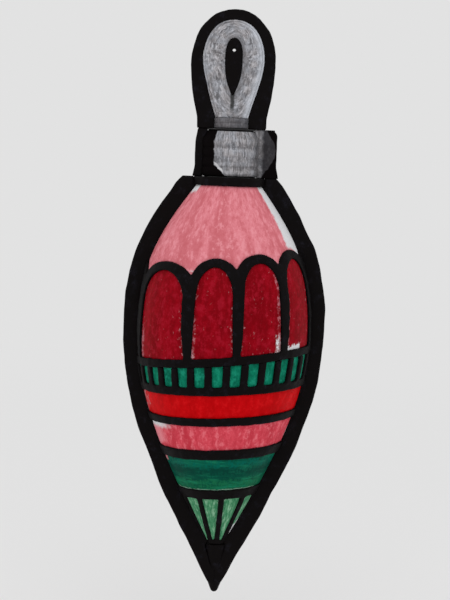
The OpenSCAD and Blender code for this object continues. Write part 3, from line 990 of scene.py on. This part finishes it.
BLACK = BlackEnamel()
STEEL = PlainFinish("spring_steel", (0.42, 0.42, 0.43), (0.26, 0.25, 0.24))
PRIMER = PlainFinish("white_primer", (0.74, 0.74, 0.74), (0.6, 0.59, 0.57), 0.0, 0.6)
FERRULE = BrushedSilver("ferrule_silver", (0.140, 0.134, 0.145), (0.058, 0.055, 0.060),
                        (0.270, 0.268, 0.285), 0.6)
WASHER = PlainFinish("washer_dark_silver", (0.012, 0.011, 0.012), (0.006, 0.005, 0.006), 0.0, 0.8)
GRIP = GripSilver("grip_dark_silver")

CRIMSON_BASE: Colour = (0.285, 0.0008, 0.0068)
CRIMSON_DEEP: Colour = (0.170, 0.0003, 0.0030)
CRIMSON_PALE: Colour = (0.400, 0.0090, 0.0260)


def crimson(name: str, *patches: Patch) -> InkEnamel:
    """The petals' deep red, with the bare places of one petal."""
    return InkEnamel(name, "crimson_enamel", CRIMSON_BASE, CRIMSON_DEEP, CRIMSON_PALE,
                     stroke=1.6, deep_share=0.7, pale_share=0.75, blotch_share=0.5, flecks=1.0,
                     patches=patches)


PLAIN_PETAL = crimson("petal_crimson")
PETAL_FINISHES = {
    2: crimson("petal_crimson_side_flecked",
               Patch((-1.1, -0.85), (0.62, 1.1), MID_ROSE, 0.12, 0.25, 0.95)),
    3: crimson("petal_crimson_left_bare",
               Patch((-1.1, -0.93), (0.55, 1.1), MID_ROSE, 0.12, 0.25, 0.9),
               Patch((-1.1, -0.86), (0.93, 1.1), PALE_ROSE, 0.1, 0.2, 0.7)),
    4: crimson("petal_crimson_right_bare",
               Patch((0.84, 0.97), (0.10, 0.80), MID_ROSE, 0.1, 0.2, 0.95),
               Patch((0.70, 0.90), (0.84, 1.1), BARE_WHITE, 0.08, 0.15, 0.7)),
    5: crimson("petal_crimson_foot_bare",
               Patch((-1.1, -0.90), (0.45, 0.95), MID_ROSE, 0.1, 0.25, 0.9),
               Patch((-1.1, 0.0), (0.955, 1.1), BARE_WHITE, 0.03, 0.1)),
}

FIELD_FINISHES = {
    "shoulder_enamel": InkEnamel(
        "shoulder_pink", "pink_enamel", (0.745, 0.228, 0.268), (0.575, 0.130, 0.155),
        (0.840, 0.315, 0.360), stroke=3.2, deep_share=0.8, pale_share=0.25, blotch_share=0.7,
        patches=(Patch((0.72, 1.2), (-0.2, 0.93), BARE_WHITE, 0.05, 0.05),
                 Patch((-1.2, -0.74), (-0.2, 0.07), BARE_WHITE, 0.05, 0.08)),
    ),
    "dash_enamel": InkEnamel(
        "dash_teal", "teal_enamel", (0.003, 0.200, 0.112), (0.001, 0.105, 0.062),
        (0.016, 0.330, 0.205), stroke=1.0, deep_share=0.8, pale_share=0.7,
        patches=(Patch((0.93, 1.2), (-0.2, 0.6), BARE_WHITE, 0.02, 0.05),),
    ),
    "red_enamel": InkEnamel(
        "stripe_red", "red_enamel", (0.555, 0.0010, 0.0032), (0.430, 0.0003, 0.0015),
        (0.700, 0.0080, 0.0110), stroke=2.4, deep_share=0.6, pale_share=0.5, blotch_share=0.5,
        end_colour=(0.640, 0.0016, 0.0050),
        patches=(Patch((-1.2, -0.88), (0.0, 1.2), PALE_ROSE, 0.12, 0.2, 0.95),),
    ),
    "pink_enamel": InkEnamel(
        "stripe_rose", "rose_enamel", (0.705, 0.074, 0.106), (0.530, 0.034, 0.055),
        (0.860, 0.200, 0.240), stroke=2.8, deep_share=0.9, pale_share=0.5, blotch_share=0.6,
        patches=(Patch((-1.2, -0.80), (-0.2, 1.2), (0.80, 0.25, 0.29), 0.2, 0.1),
                 Patch((-1.2, -0.70), (-0.2, 0.10), BARE_WHITE, 0.22, 0.1),
                 Patch((0.955, 1.2), (0.4, 0.85), BARE_WHITE, 0.02, 0.05)),
    ),
    "green_enamel": InkEnamel(
        "stripe_green", "green_enamel", (0.0015, 0.093, 0.050), (0.0006, 0.042, 0.030),
        (0.0090, 0.200, 0.105), Grain.LEVEL, stroke=1.1, deep_share=0.9, pale_share=0.9,
        blotch_share=0.9,
        patches=(Patch((-1.2, 1.2), (0.10, 0.26), (0.0004, 0.118, 0.082), 0.12, 0.3, 0.7),
                 Patch((-1.2, 1.2), (0.36, 0.46), (0.0010, 0.050, 0.034), 0.14, 0.12, 0.35),
                 Patch((-1.2, 1.2), (0.56, 0.60), (0.0012, 0.066, 0.042), 0.08, 0.12, 0.4),
                 Patch((-1.2, 1.2), (0.74, 0.94), (0.0075, 0.140, 0.060), 0.14, 0.25, 0.7),
                 Patch((-1.2, -0.86), (-0.2, 0.14), (0.60, 0.21, 0.24), 0.06, 0.08),
                 Patch((-0.8, 0.7), (0.965, 1.2), (0.24, 0.44, 0.32), 0.02, 0.06)),
    ),
    "fan_enamel": InkEnamel(
        "fan_light_green", "light_green_enamel", (0.088, 0.305, 0.150), (0.030, 0.180, 0.080),
        (0.280, 0.520, 0.340), stroke=1.1, deep_share=0.9, pale_share=0.9, blotch_share=0.8,
        patches=(Patch((0.70, 1.2), (0.74, 1.2), BARE_WHITE, 0.08, 0.12),),
    ),
}
RIDGES = ("arch_ridge", "dash_ridge", "red_ridge", "pink_ridge", "fan_ridge")
PETALS_A_SIDE = 6


def settle(piece: Piece, material: Material, body: str, slot: str, *nodes: str) -> Piece:
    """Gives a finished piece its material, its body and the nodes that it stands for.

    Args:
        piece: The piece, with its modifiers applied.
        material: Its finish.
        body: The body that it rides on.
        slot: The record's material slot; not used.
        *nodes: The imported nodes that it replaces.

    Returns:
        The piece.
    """
    piece.data.materials.clear()
    piece.data.materials.append(material)
    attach(piece, body)
    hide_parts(*nodes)
    LOG.info("%s: %d faces, on %s", piece.name, len(piece.data.polygons), body)
    return piece


def keep_node(node: str, material: Material) -> None:
    """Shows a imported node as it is, with a finish."""
    piece = bpy.data.objects[node]
    piece.data.materials.clear()
    piece.data.materials.append(material)
    LOG.info("%s: kept, %d faces", node, len(piece.data.polygons))


@dataclass
class HangerLoop:
    """The silver loop with its black edging and eye insert, on a turned ferrule.

    Attributes:
        voxel: Size of the faces of the softened pieces.
        band_passes: Rounds of smoothing of the silver band.
        line_passes: Rounds of smoothing of the black pieces.
        crease_r: Radius of the crease between the band's two legs.
        swell_by: How far a black piece swells before its edges are rounded.
        foot_reach: How far the edging's foot stands below the modelled one.
        edging_wave: Length, depth and inward share of the edging's unevenness.
        bow_drop: How far below the eye the middle of the band's round top lies.
        bow_r: Radius of the round top, in millimetres along the band.
        bow_half: Half its length.
        blend_h: Height over which the round top's measure gives way to the legs'.
        ferrule_bore: Radius of the hole in the ferrule.
        ferrule_round: Radius of its beads' edges.
        ferrule_waist: Depth of the groove between them.
        ferrule_bevel: Width of the bevel on its edges, and the least angle of those, in degrees.
        ferrule_steps: Faces round it.
    """

    black: Material
    steel: Material
    body: str = "hanger"
    voxel: float = 0.22 * MM
    band_passes: int = 14
    line_passes: int = 8
    crease_r: float = 0.5 * MM
    swell_by: float = 0.06 * MM
    foot_reach: float = 0.09 * MM
    edging_wave: Triple = (7 * MM, 0.6 * MM, 0.6)
    bow_drop: float = 3.4 * MM
    bow_r: float = 9
    bow_half: float = 14
    blend_h: float = 5 * MM
    ferrule_bore: float = 1.4 * MM
    ferrule_round: float = 0.25 * MM
    ferrule_waist: float = 0.2 * MM
    ferrule_bevel: Span = (0.08 * MM, 30.0)
    ferrule_steps: int = 96

    def build(self) -> None:
        """Models and dresses every piece of the hanger."""
        edging = self.line_piece("loop_edging", "loop_black_edging")
        insert = self.line_piece("eye_insert", "loop_eye_insert")
        self.band(edging, insert)
        self.ferrule()
        for node in ("swivel_stem", "retaining_nut"):
            keep_node(node, self.steel)

    def line_piece(self, node: str, name: str) -> Piece:
        """Softens one of the loop's black pieces."""
        edging = node == "loop_edging"
        wave = self.edging_wave if edging else ()
        piece = round_off(copy_of(node, name), self.swell_by, self.voxel, self.line_passes, *wave)
        if edging:
            press_flat(piece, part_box(node)[0].z - self.foot_reach, FOOT)
        return settle(piece, self.black, self.body, "black_enamel", node)

    def band(self, edging: Piece, insert: Piece) -> None:
        """Models the silver band: two legs that close under the slot, with a crease between.

        Args:
            edging: The black piece round it.
            insert: The black piece in its slot.
        """
        piece = copy_of("silver_loop", "loop_silver_band")
        low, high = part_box("silver_loop")
        slot_low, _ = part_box("eye_insert")
        swell(piece, self.swell_by)
        apply_modifiers(piece)
        for face_y in (low.y - self.swell_by, high.y + self.swell_by):
            self.cut_crease(piece, face_y, slot_low.z, low.z - self.swell_by)
        round_off(piece, 0.0, self.voxel, self.band_passes)
        self.chart_band(piece, edging, insert)
        finish = LoopSilver("loop_silver")
        settle(piece, finish.material(), self.body, "brushed_silver", "silver_loop")

    def cut_crease(self, piece: Piece, face_y: float, top_z: float, foot_z: float) -> None:
        """Cuts a round-bottomed crease down one face, under the slot.

        Args:
            piece: The band.
            face_y: Depth of the face.
            top_z: Height of the slot's point.
            foot_z: Height of the band's foot.
        """
        deselect_all()
        bpy.ops.mesh.primitive_cylinder_add(
            vertices=16, radius=self.crease_r, depth=top_z - foot_z + 2 * self.crease_r,
            location=(0, face_y, (top_z + foot_z) / 2))
        cutter = bpy.context.object
        bpy.ops.object.transform_apply(location=True, rotation=True, scale=True)
        add_modifier(piece, "BOOLEAN", operation="DIFFERENCE", object=cutter)
        apply_modifiers(piece)
        bpy.data.objects.remove(cutter)

    def chart_band(self, piece: Piece, edging: Piece, insert: Piece) -> None:
        """Stores how far along and how far across the band each of its vertices lies.

        Args:
            piece: The band.
            edging: The piece round it, where across is 1.
            insert: The piece in its slot, where across is 0.
        """
        spots = points_of(piece)
        reach = []
        for neighbour in (insert, edging):
            tree = kdtree.KDTree(len(neighbour.data.vertices))
            for index, vertex in enumerate(neighbour.data.vertices):
                tree.insert((vertex.co.x, 0, vertex.co.z), index)
            tree.balance()
            reach.append(np.array([tree.find((x, 0, z))[2] for x, _, z in spots]))
        across = reach[0] / np.maximum(reach[0] + reach[1], LEAST)
        write_attribute(piece, "across", across)
        x, _, z = spots.T
        turn = np.arctan2(x, z + self.bow_drop)
        upright = np.clip(-z / self.blend_h, 0, 1)
        around = (np.abs(turn) * self.bow_r * (1 - upright)
                  + (self.bow_half - z * PER_MM) * upright)
        write_attribute(piece, "along", around * np.sign(x + LEAST))

    def ferrule(self) -> None:
        """Turns the ferrule, with a bead above and below its groove."""
        low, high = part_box("loop_ferrule")
        bore, round_r, waist = self.ferrule_bore, self.ferrule_round, self.ferrule_waist
        middle = (low.z + high.z) / 2
        outline = [(bore, low.z)]
        outline += arc((high.x - round_r, low.z + round_r), round_r, -90, 0, 4)
        outline += [(high.x, middle - 2 * waist), (high.x - waist, middle),
                    (high.x, middle + 2 * waist)]
        outline += arc((high.x - round_r, high.z - round_r), round_r, 0, 90, 4)
        outline += [(bore, high.z)]
        piece = lathe("loop_turned_ferrule", outline, self.ferrule_steps,
                      bevel=self.ferrule_bevel)
        settle(piece, FERRULE.material(), self.body, "dark_silver", "loop_ferrule")


@dataclass
class RibbedCap:
    """The ribbed cap with its washer, side grips and spring clip.

    Attributes:
        steps: Faces round the barrel.
        wall: Wall of the barrel.
        top_t: Thickness of its top plate.
        shoulder_in: Amount that its top is drawn in.
        shoulder_h: Height over which it is drawn in.
        shoulder_end: Angle where the shoulder's rounding ends, in degrees from outwards.
        barrel_bevel: Width of the bevel on its edges, and the least angle of those, in degrees.
        rib_count: Number of its ribs.
        rib_steps: Points in the outline of a rib.
        groove: Depth of the grooves between them.
        bore: Radius of the hole that the stem turns in.
        swell_by: How far a grip swells before its edges are rounded.
        root: How far a grip runs into the barrel.
        head_h: Height of its top.
        head_root: How much further its top runs in, over the barrel's round shoulder.
        head_out: How far the outer corner of its top moves outwards, at the left and right.
        head_round: Radius of that corner, at the left and right.
        head_reach: How far a grip's top stands above the modelled one, to close its gap.
        foot_reach: How far its foot stands below.
        grip_voxel: Size of the faces of a grip.
        grip_passes: Rounds of smoothing of a grip.
        grip_wave: Length, depth and inward share of a grip's unevenness.
        clip_voxel: Size of the faces of the clip.
        clip_passes: Rounds of smoothing of the clip.
        washer_play: How much wider the washer's hole is than the barrel's.
        washer_steps: Faces round the washer.
    """

    black: Material
    steel: Material
    body: str = "cap"
    steps: int = 144
    wall: float = 0.8 * MM
    top_t: float = 1.0 * MM
    shoulder_in: float = 1.2 * MM
    shoulder_h: float = 2.4 * MM
    shoulder_end: float = 35
    barrel_bevel: Span = (0.1 * MM, 40)
    rib_count: int = 4
    rib_steps: int = 8
    groove: float = 0.35 * MM
    bore: float = 2.05 * MM
    swell_by: float = 0.07 * MM
    root: float = 0.55 * MM
    head_h: float = 1.0 * MM
    head_root: float = 0.7 * MM
    head_out: Span = (0.7 * MM, 1.3 * MM)
    head_round: Span = (0.0, 2.0 * MM)
    head_reach: float = 0.09 * MM
    foot_reach: float = 0.12 * MM
    grip_voxel: float = 0.2 * MM
    grip_passes: int = 8
    grip_wave: Triple = (6 * MM, 0.4 * MM, 0.65)
    clip_voxel: float = 0.16 * MM
    clip_passes: int = 4
    washer_play: float = 0.25 * MM
    washer_steps: int = 72

    def build(self) -> None:
        """Models and dresses every piece of the cap."""
        self.barrel()
        self.washer()
        self.grip("left", -1, self.black, "black_enamel")
        self.grip("right", 1, GRIP.material(), "dark_silver")
        clip = copy_of("spring_clip", "cap_spring_clip")
        round_off(clip, 0.0, self.clip_voxel, self.clip_passes)
        settle(clip, self.steel, self.body, "plain_steel", "spring_clip")

    def grip(self, hand: str, way: int, material: Material, slot: str) -> None:
        """Softens one side grip, whose root runs into the barrel.

        Args:
            hand: The side that it is on.
            way: -1 for the left and 1 for the right.
            material: Its finish.
            slot: The record's material slot.
        """
        node = f"cap_grip_{hand}"
        barrel_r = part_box("cap_barrel")[1].x
        piece = copy_of(node, f"cap_side_grip_{hand}")
        low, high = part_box(node)
        head_z = high.z - self.head_h
        right = int(way > 0)
        shift_vertices(piece, lambda place, _: way * place.x < barrel_r + self.swell_by,
                       -way * self.root)
        shift_vertices(piece, lambda place, _: place.z > head_z and way * place.x < barrel_r,
                       -way * self.head_root)
        shift_vertices(piece, lambda place, _: place.z > head_z and way * place.x > barrel_r,
                       way * self.head_out[right], self.head_round[right])
        round_off(piece, self.swell_by, self.grip_voxel, self.grip_passes, *self.grip_wave)
        press_flat(piece, low.z - self.foot_reach, FOOT)
        press_flat(piece, high.z + self.head_reach, TOP)
        settle(piece, material, self.body, slot, node)

    def barrel(self) -> None:
        """Turns the barrel: a drawn-in shoulder over rounded ribs, hollow below."""
        low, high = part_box("cap_barrel")
        outer, inner = high.x, high.x - self.wall
        shoulder_z = high.z - self.shoulder_h
        pitch = (shoulder_z - low.z) / self.rib_count
        top_r = outer - self.shoulder_in
        outline = [(self.bore, high.z)]
        outline += arc((top_r - self.shoulder_h / 2, high.z - self.shoulder_h / 2),
                       self.shoulder_h / 2, 90, self.shoulder_end, 6)
        for rib in range(self.rib_count):
            outline += self.rib(outer, shoulder_z - rib * pitch, pitch)
        outline += [(inner, low.z), (inner, shoulder_z),
                    (inner - self.shoulder_in, high.z - self.top_t),
                    (self.bore, high.z - self.top_t)]
        piece = lathe("cap_ribbed_barrel", outline, self.steps, self.barrel_bevel[1],
                      self.barrel_bevel)
        finish = CapSilver("cap_silver", streak=0.5, foot_z=low.z * PER_MM, top_z=high.z * PER_MM)
        settle(piece, finish.material(), self.body, "brushed_silver", "cap_barrel")

    def rib(self, outer: float, top_z: float, pitch: float) -> list[Point]:
        """The outline of one rib, a low round bead between two grooves.

        Args:
            outer: Radius of the bead's crest.
            top_z: Height of its upper groove.
            pitch: Height of a rib.

        Returns:
            The points, from the top down.
        """
        parts = [i / self.rib_steps for i in range(self.rib_steps)]
        return [(outer - self.groove * (1 - math.sin(math.pi * part) ** 0.5),
                 top_z - pitch * part) for part in parts]

    def washer(self) -> None:
        """Turns the thin washer under the ferrule."""
        low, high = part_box("thrust_washer")
        high.z += self.head_reach
        edge = (high.z - low.z) / 2
        bore = self.bore + self.washer_play
        outline = [(bore, low.z)]
        outline += arc((high.x - edge, low.z + edge), edge, -90, 90, 6)
        outline += [(bore, high.z)]
        piece = lathe("cap_thrust_washer", outline, self.washer_steps)
        settle(piece, WASHER.material(), self.body, "dark_silver", "thrust_washer")


@dataclass
class TeardropBody:
    """The body: shells, enamel fields between black ridges, rims, neck and finial.

    Attributes:
        field_voxel: Size of the faces of the enamel fields.
        line_voxel: Size of the faces of the ridges.
        rim_voxel: Size of the faces of the rims.
        ring_voxel: Size of the faces of the neck ring.
        passes: Rounds of smoothing of the black pieces.
        field_passes: The same for the enamel fields.
        ridge_wave: Length, depth and inward share of the ridges' unevenness.
        rim_wave: The same for the rims.
        ring_wave: The same for the neck ring.
        seam: How far a field runs in under the ridges beside it.
        line_swell: How far a ridge swells before its edges are rounded.
        top_swell: How far the top of the ring and rims rises towards the cap.
        sleeve_lap: How far black enamel laps up the neck sleeve, above the ring.
        sleeve_wall: Wall of the sleeve.
        sleeve_steps: Faces round it.
    """

    black: Material
    steel: Material
    body: str = "drop"
    field_voxel: float = 0.29 * MM
    line_voxel: float = 0.27 * MM
    rim_voxel: float = 0.32 * MM
    ring_voxel: float = 0.22 * MM
    passes: int = 6
    field_passes: int = 3
    ridge_wave: Triple = (3 * MM, 0.3 * MM, 0.6)
    rim_wave: Triple = (9 * MM, 0.8 * MM, 0.65)
    ring_wave: Triple = (5 * MM, 0.3 * MM, 0.65)
    seam: float = 0.3 * MM
    line_swell: float = 0.1 * MM
    top_swell: float = 0.06 * MM
    sleeve_lap: float = 1.2 * MM
    sleeve_wall: float = 0.8 * MM
    sleeve_steps: int = 96

    def build(self) -> None:
        """Models and dresses every piece of the body."""
        self.neck()
        self.outline_pieces()
        primer = PRIMER.material()
        plain_petal = PLAIN_PETAL.material()
        for side in Side:
            front = side is Side.FRONT
            finishes = {name: (finish if front else finish.unmarked()).material()
                        for name, finish in FIELD_FINISHES.items()}
            petals = {k: finish.material() for k, finish in PETAL_FINISHES.items() if front}
            keep_node(f"{side.label}_shell", primer)
            for ridge in RIDGES:
                self.ridge(side, ridge)
            for name, finish in FIELD_FINISHES.items():
                self.field(side, name, finishes[name], finish.slot)
            for k in range(1, PETALS_A_SIDE + 1):
                self.field(side, f"petal_{k}", petals.get(k, plain_petal), PLAIN_PETAL.slot)

    def black_line(self, node: str, name: str, voxel: float, wave: Triple) -> Piece:
        """Softens a packed black piece into a round, slightly wavering line.

        Args:
            node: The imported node.
            name: Name of the new piece.
            voxel: Size of its faces.
            wave: Length, depth and inward share of its unevenness.

        Returns:
            The new piece.
        """
        return round_off(copy_of(node, name), self.line_swell, voxel, self.passes, *wave)

    def ridge(self, side: Side, name: str) -> None:
        """Softens one set of black ridges."""
        node = f"{side.label}_{name}"
        piece = self.black_line(node, f"{node}_line", self.line_voxel, self.ridge_wave)
        settle(piece, self.black, self.body, "black_enamel", node)

    def field(self, side: Side, name: str, material: Material, slot: str) -> None:
        """Models one enamel field, which runs in under the ridges beside it.

        Args:
            side: The half that it is on.
            name: The field's name.
            material: Its finish.
            slot: The record's material slot.
        """
        node = f"{side.label}_{name}"
        piece = copy_of(node, f"{node}_field")
        outer = float(np.hypot(*points_of(piece)[:, :2].T).max())
        round_off(piece, self.seam, self.field_voxel, self.field_passes)
        shrink = outer / (outer + self.seam)
        bpy.ops.object.mode_set(mode="EDIT")
        bpy.ops.mesh.select_all(action="SELECT")
        bpy.ops.transform.resize(value=(shrink, shrink, 1), center_override=(0, 0, 0))
        bpy.ops.object.mode_set(mode="OBJECT")
        chart_field(piece, side)
        settle(piece, material, self.body, slot, node)

    def outline_pieces(self) -> None:
        """Softens the rims and the finial, the black outline of the body."""
        for node in ("rim_left", "rim_right", "tip_finial"):
            piece = self.black_line(node, f"{node}_line", self.rim_voxel, self.rim_wave)
            if node != "tip_finial":
                press_flat(piece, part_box(node)[1].z + self.top_swell, TOP)
            settle(piece, self.black, self.body, "black_enamel", node)

    def neck(self) -> None:
        """Turns the neck sleeve, with a rolled lip, and the black ring at its foot."""
        low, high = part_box("neck_sleeve")
        bore = high.x - self.sleeve_wall
        lip = (high.x - bore) / 2
        outline = [(bore, low.z), (high.x, low.z)]
        outline += arc((high.x - lip, high.z - lip), lip, 0, 180, 8)
        piece = lathe("neck_drawn_sleeve", outline, self.sleeve_steps)
        ring_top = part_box("neck_ring")[1].z
        lap_z = (ring_top + self.sleeve_lap) * PER_MM
        finish = PlainFinish("neck_steel", STEEL.base, STEEL.worn, lap_z=lap_z)
        settle(piece, finish.material(), self.body, "plain_steel", "neck_sleeve")
        ring = self.black_line("neck_ring", "neck_black_ring", self.ring_voxel, self.ring_wave)
        press_flat(ring, ring_top + self.top_swell, TOP)
        settle(ring, self.black, self.body, "black_enamel", "neck_ring")


@dataclass
class Studio:
    """A plain pale floor under even, soft light.

    Attributes:
        floor_z: Height of the floor, just below the hanging ornament.
        floor_r: Radius of the floor.
        floor_steps: Corners round it.
        floor_tone: Grey of the floor.
        fade_start: Distance from the ornament where the floor starts to blend into the backdrop.
        fade_end: Distance where it has blended in.
        backdrop: Brightness of what the camera sees behind the object.
        even_light: Strength of the light from all round.
        key_power: Power of the large soft lamp.
        key_side: Size of the lamp.
        key_place: Its place.
        key_aim: The point that it faces.
    """

    floor_z: float = -0.200
    floor_r: float = 6.0
    floor_steps: int = 96
    floor_tone: float = 0.84
    fade_start: float = 0.25
    fade_end: float = 0.9
    backdrop: float = 0.761
    even_light: float = 0.86
    key_power: float = 2.6
    key_side: float = 0.9
    key_place: Triple = (0.0, -1.08, 0.75)
    key_aim: Triple = (0.0, 0.0, -0.08)

    def build(self) -> None:
        """Sets the floor, the light from all round and the soft lamp."""
        self.floor()
        self.surroundings()
        lamp_data = bpy.data.lights.new("soft_key", "AREA")
        lamp_data.energy = self.key_power
        lamp_data.size = self.key_side
        lamp = bpy.data.objects.new("soft_key", lamp_data)
        lamp.location = self.key_place
        aim = Vector(self.key_aim) - Vector(self.key_place)
        lamp.rotation_euler = aim.to_track_quat("-Z", "Y").to_euler()
        bpy.context.scene.collection.objects.link(lamp)
        bpy.context.scene.view_settings.view_transform = "Standard"

    def floor(self) -> None:
        """Lays the floor, a wide disc."""
        deselect_all()
        bpy.ops.mesh.primitive_circle_add(vertices=self.floor_steps, radius=self.floor_r,
                                          fill_type="NGON", location=(0, 0, self.floor_z))
        disc = bpy.context.object
        disc.name = "studio_floor"
        sheet = NodeSheet("studio_floor")
        tone = self.floor_tone
        sheet.dress(base_color=(tone, tone, tone), roughness=0.95, specular_ior_level=0.0)
        self.fade_far_off(sheet)
        disc.data.materials.append(sheet.material)

    def fade_far_off(self, sheet: NodeSheet) -> None:
        """Blends the floor far from the ornament into the backdrop, as the camera sees it."""
        far = sheet.rise(sheet.reach(), self.fade_start * PER_MM, self.fade_end * PER_MM)
        seen = sheet.times(far, sheet.step("LightPath", {}, "Is Camera Ray"))
        glow = sheet.step("Emission", {"Color": (1, 1, 1), "Strength": self.backdrop})
        blend = sheet.step("MixShader", {0: seen, 1: sheet.surface.outputs[0], 2: glow})
        sheet.feed(sheet.tree.nodes["Material Output"].inputs["Surface"], blend)

    def surroundings(self) -> None:
        """Lights the object evenly, and shows the backdrop to the camera and in reflections."""
        world = bpy.data.worlds.new("even_light")
        bpy.context.scene.world = world
        world.use_nodes = True
        tree = world.node_tree
        background = tree.nodes["Background"]
        background.inputs["Color"].default_value = (1, 1, 1, 1)
        path = tree.nodes.new("ShaderNodeLightPath")
        seen = path.outputs["Is Camera Ray"]
        for name in ("Is Glossy Ray", "Is Transmission Ray"):
            either = tree.nodes.new("ShaderNodeMath")
            either.operation = "MAXIMUM"
            tree.links.new(seen, either.inputs[0])
            tree.links.new(path.outputs[name], either.inputs[1])
            seen = either.outputs[0]
        strength = tree.nodes.new("ShaderNodeMix")
        strength.data_type = "FLOAT"
        tree.links.new(seen, strength.inputs["Factor"])
        strength.inputs[2].default_value = self.even_light
        strength.inputs[3].default_value = self.backdrop
        tree.links.new(strength.outputs[0], background.inputs["Strength"])


@dataclass
class PhotoCamera:
    """The camera at the photograph's viewing angle.

    Attributes:
        distance: From the ornament's axis.
        aim_x: How far the middle of the picture lies to the right of the axis.
        aim_z: Height on the axis that the middle of the picture shows.
        elevation: Its angle above the horizon, in degrees.
        roll: Lean of the ornament to the right at the top, in degrees.
        focal: Focal length, in millimetres.
        sensor: Length of the sensor, in millimetres.
        nearest: Distance from which it sees.
        farthest: Distance up to which it sees.
    """

    distance: float = 0.5
    aim_x: float = 0.0001
    aim_z: float = -0.0743
    elevation: float = 5.0
    roll: float = 2.2
    focal: float = 100.0
    sensor: float = 36.0
    nearest: float = 0.01
    farthest: float = 50.0

    def build(self) -> None:
        """Makes the camera and gives it to the scene."""
        data = bpy.data.cameras.new("photo_camera")
        data.lens = self.focal
        data.sensor_width = self.sensor
        data.clip_start = self.nearest
        data.clip_end = self.farthest
        camera = bpy.data.objects.new("photo_camera", data)
        bpy.context.scene.collection.objects.link(camera)
        rise = math.radians(self.elevation)
        back = Vector((0, -math.cos(rise), math.sin(rise)))
        turn = (-back).to_track_quat("-Z", "Y").to_matrix().to_4x4()
        lean = Matrix.Rotation(math.radians(self.roll), 4, "Z")
        place = Vector((self.aim_x, 0, self.aim_z)) + back * self.distance
        camera.matrix_world = Matrix.Translation(place) @ turn @ lean
        bpy.context.scene.camera = camera


def main() -> None:
    """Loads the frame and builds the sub-assemblies in order."""
    logging.basicConfig(level=logging.INFO, format="%(name)s: %(message)s")
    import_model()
    PhotoCamera().build()
    Studio().build()
    black = BLACK.material()
    steel = STEEL.material()
    HangerLoop(black, steel).build()
    RibbedCap(black, steel).build()
    TeardropBody(black, steel).build()


if __name__ == "__main__":
    main()
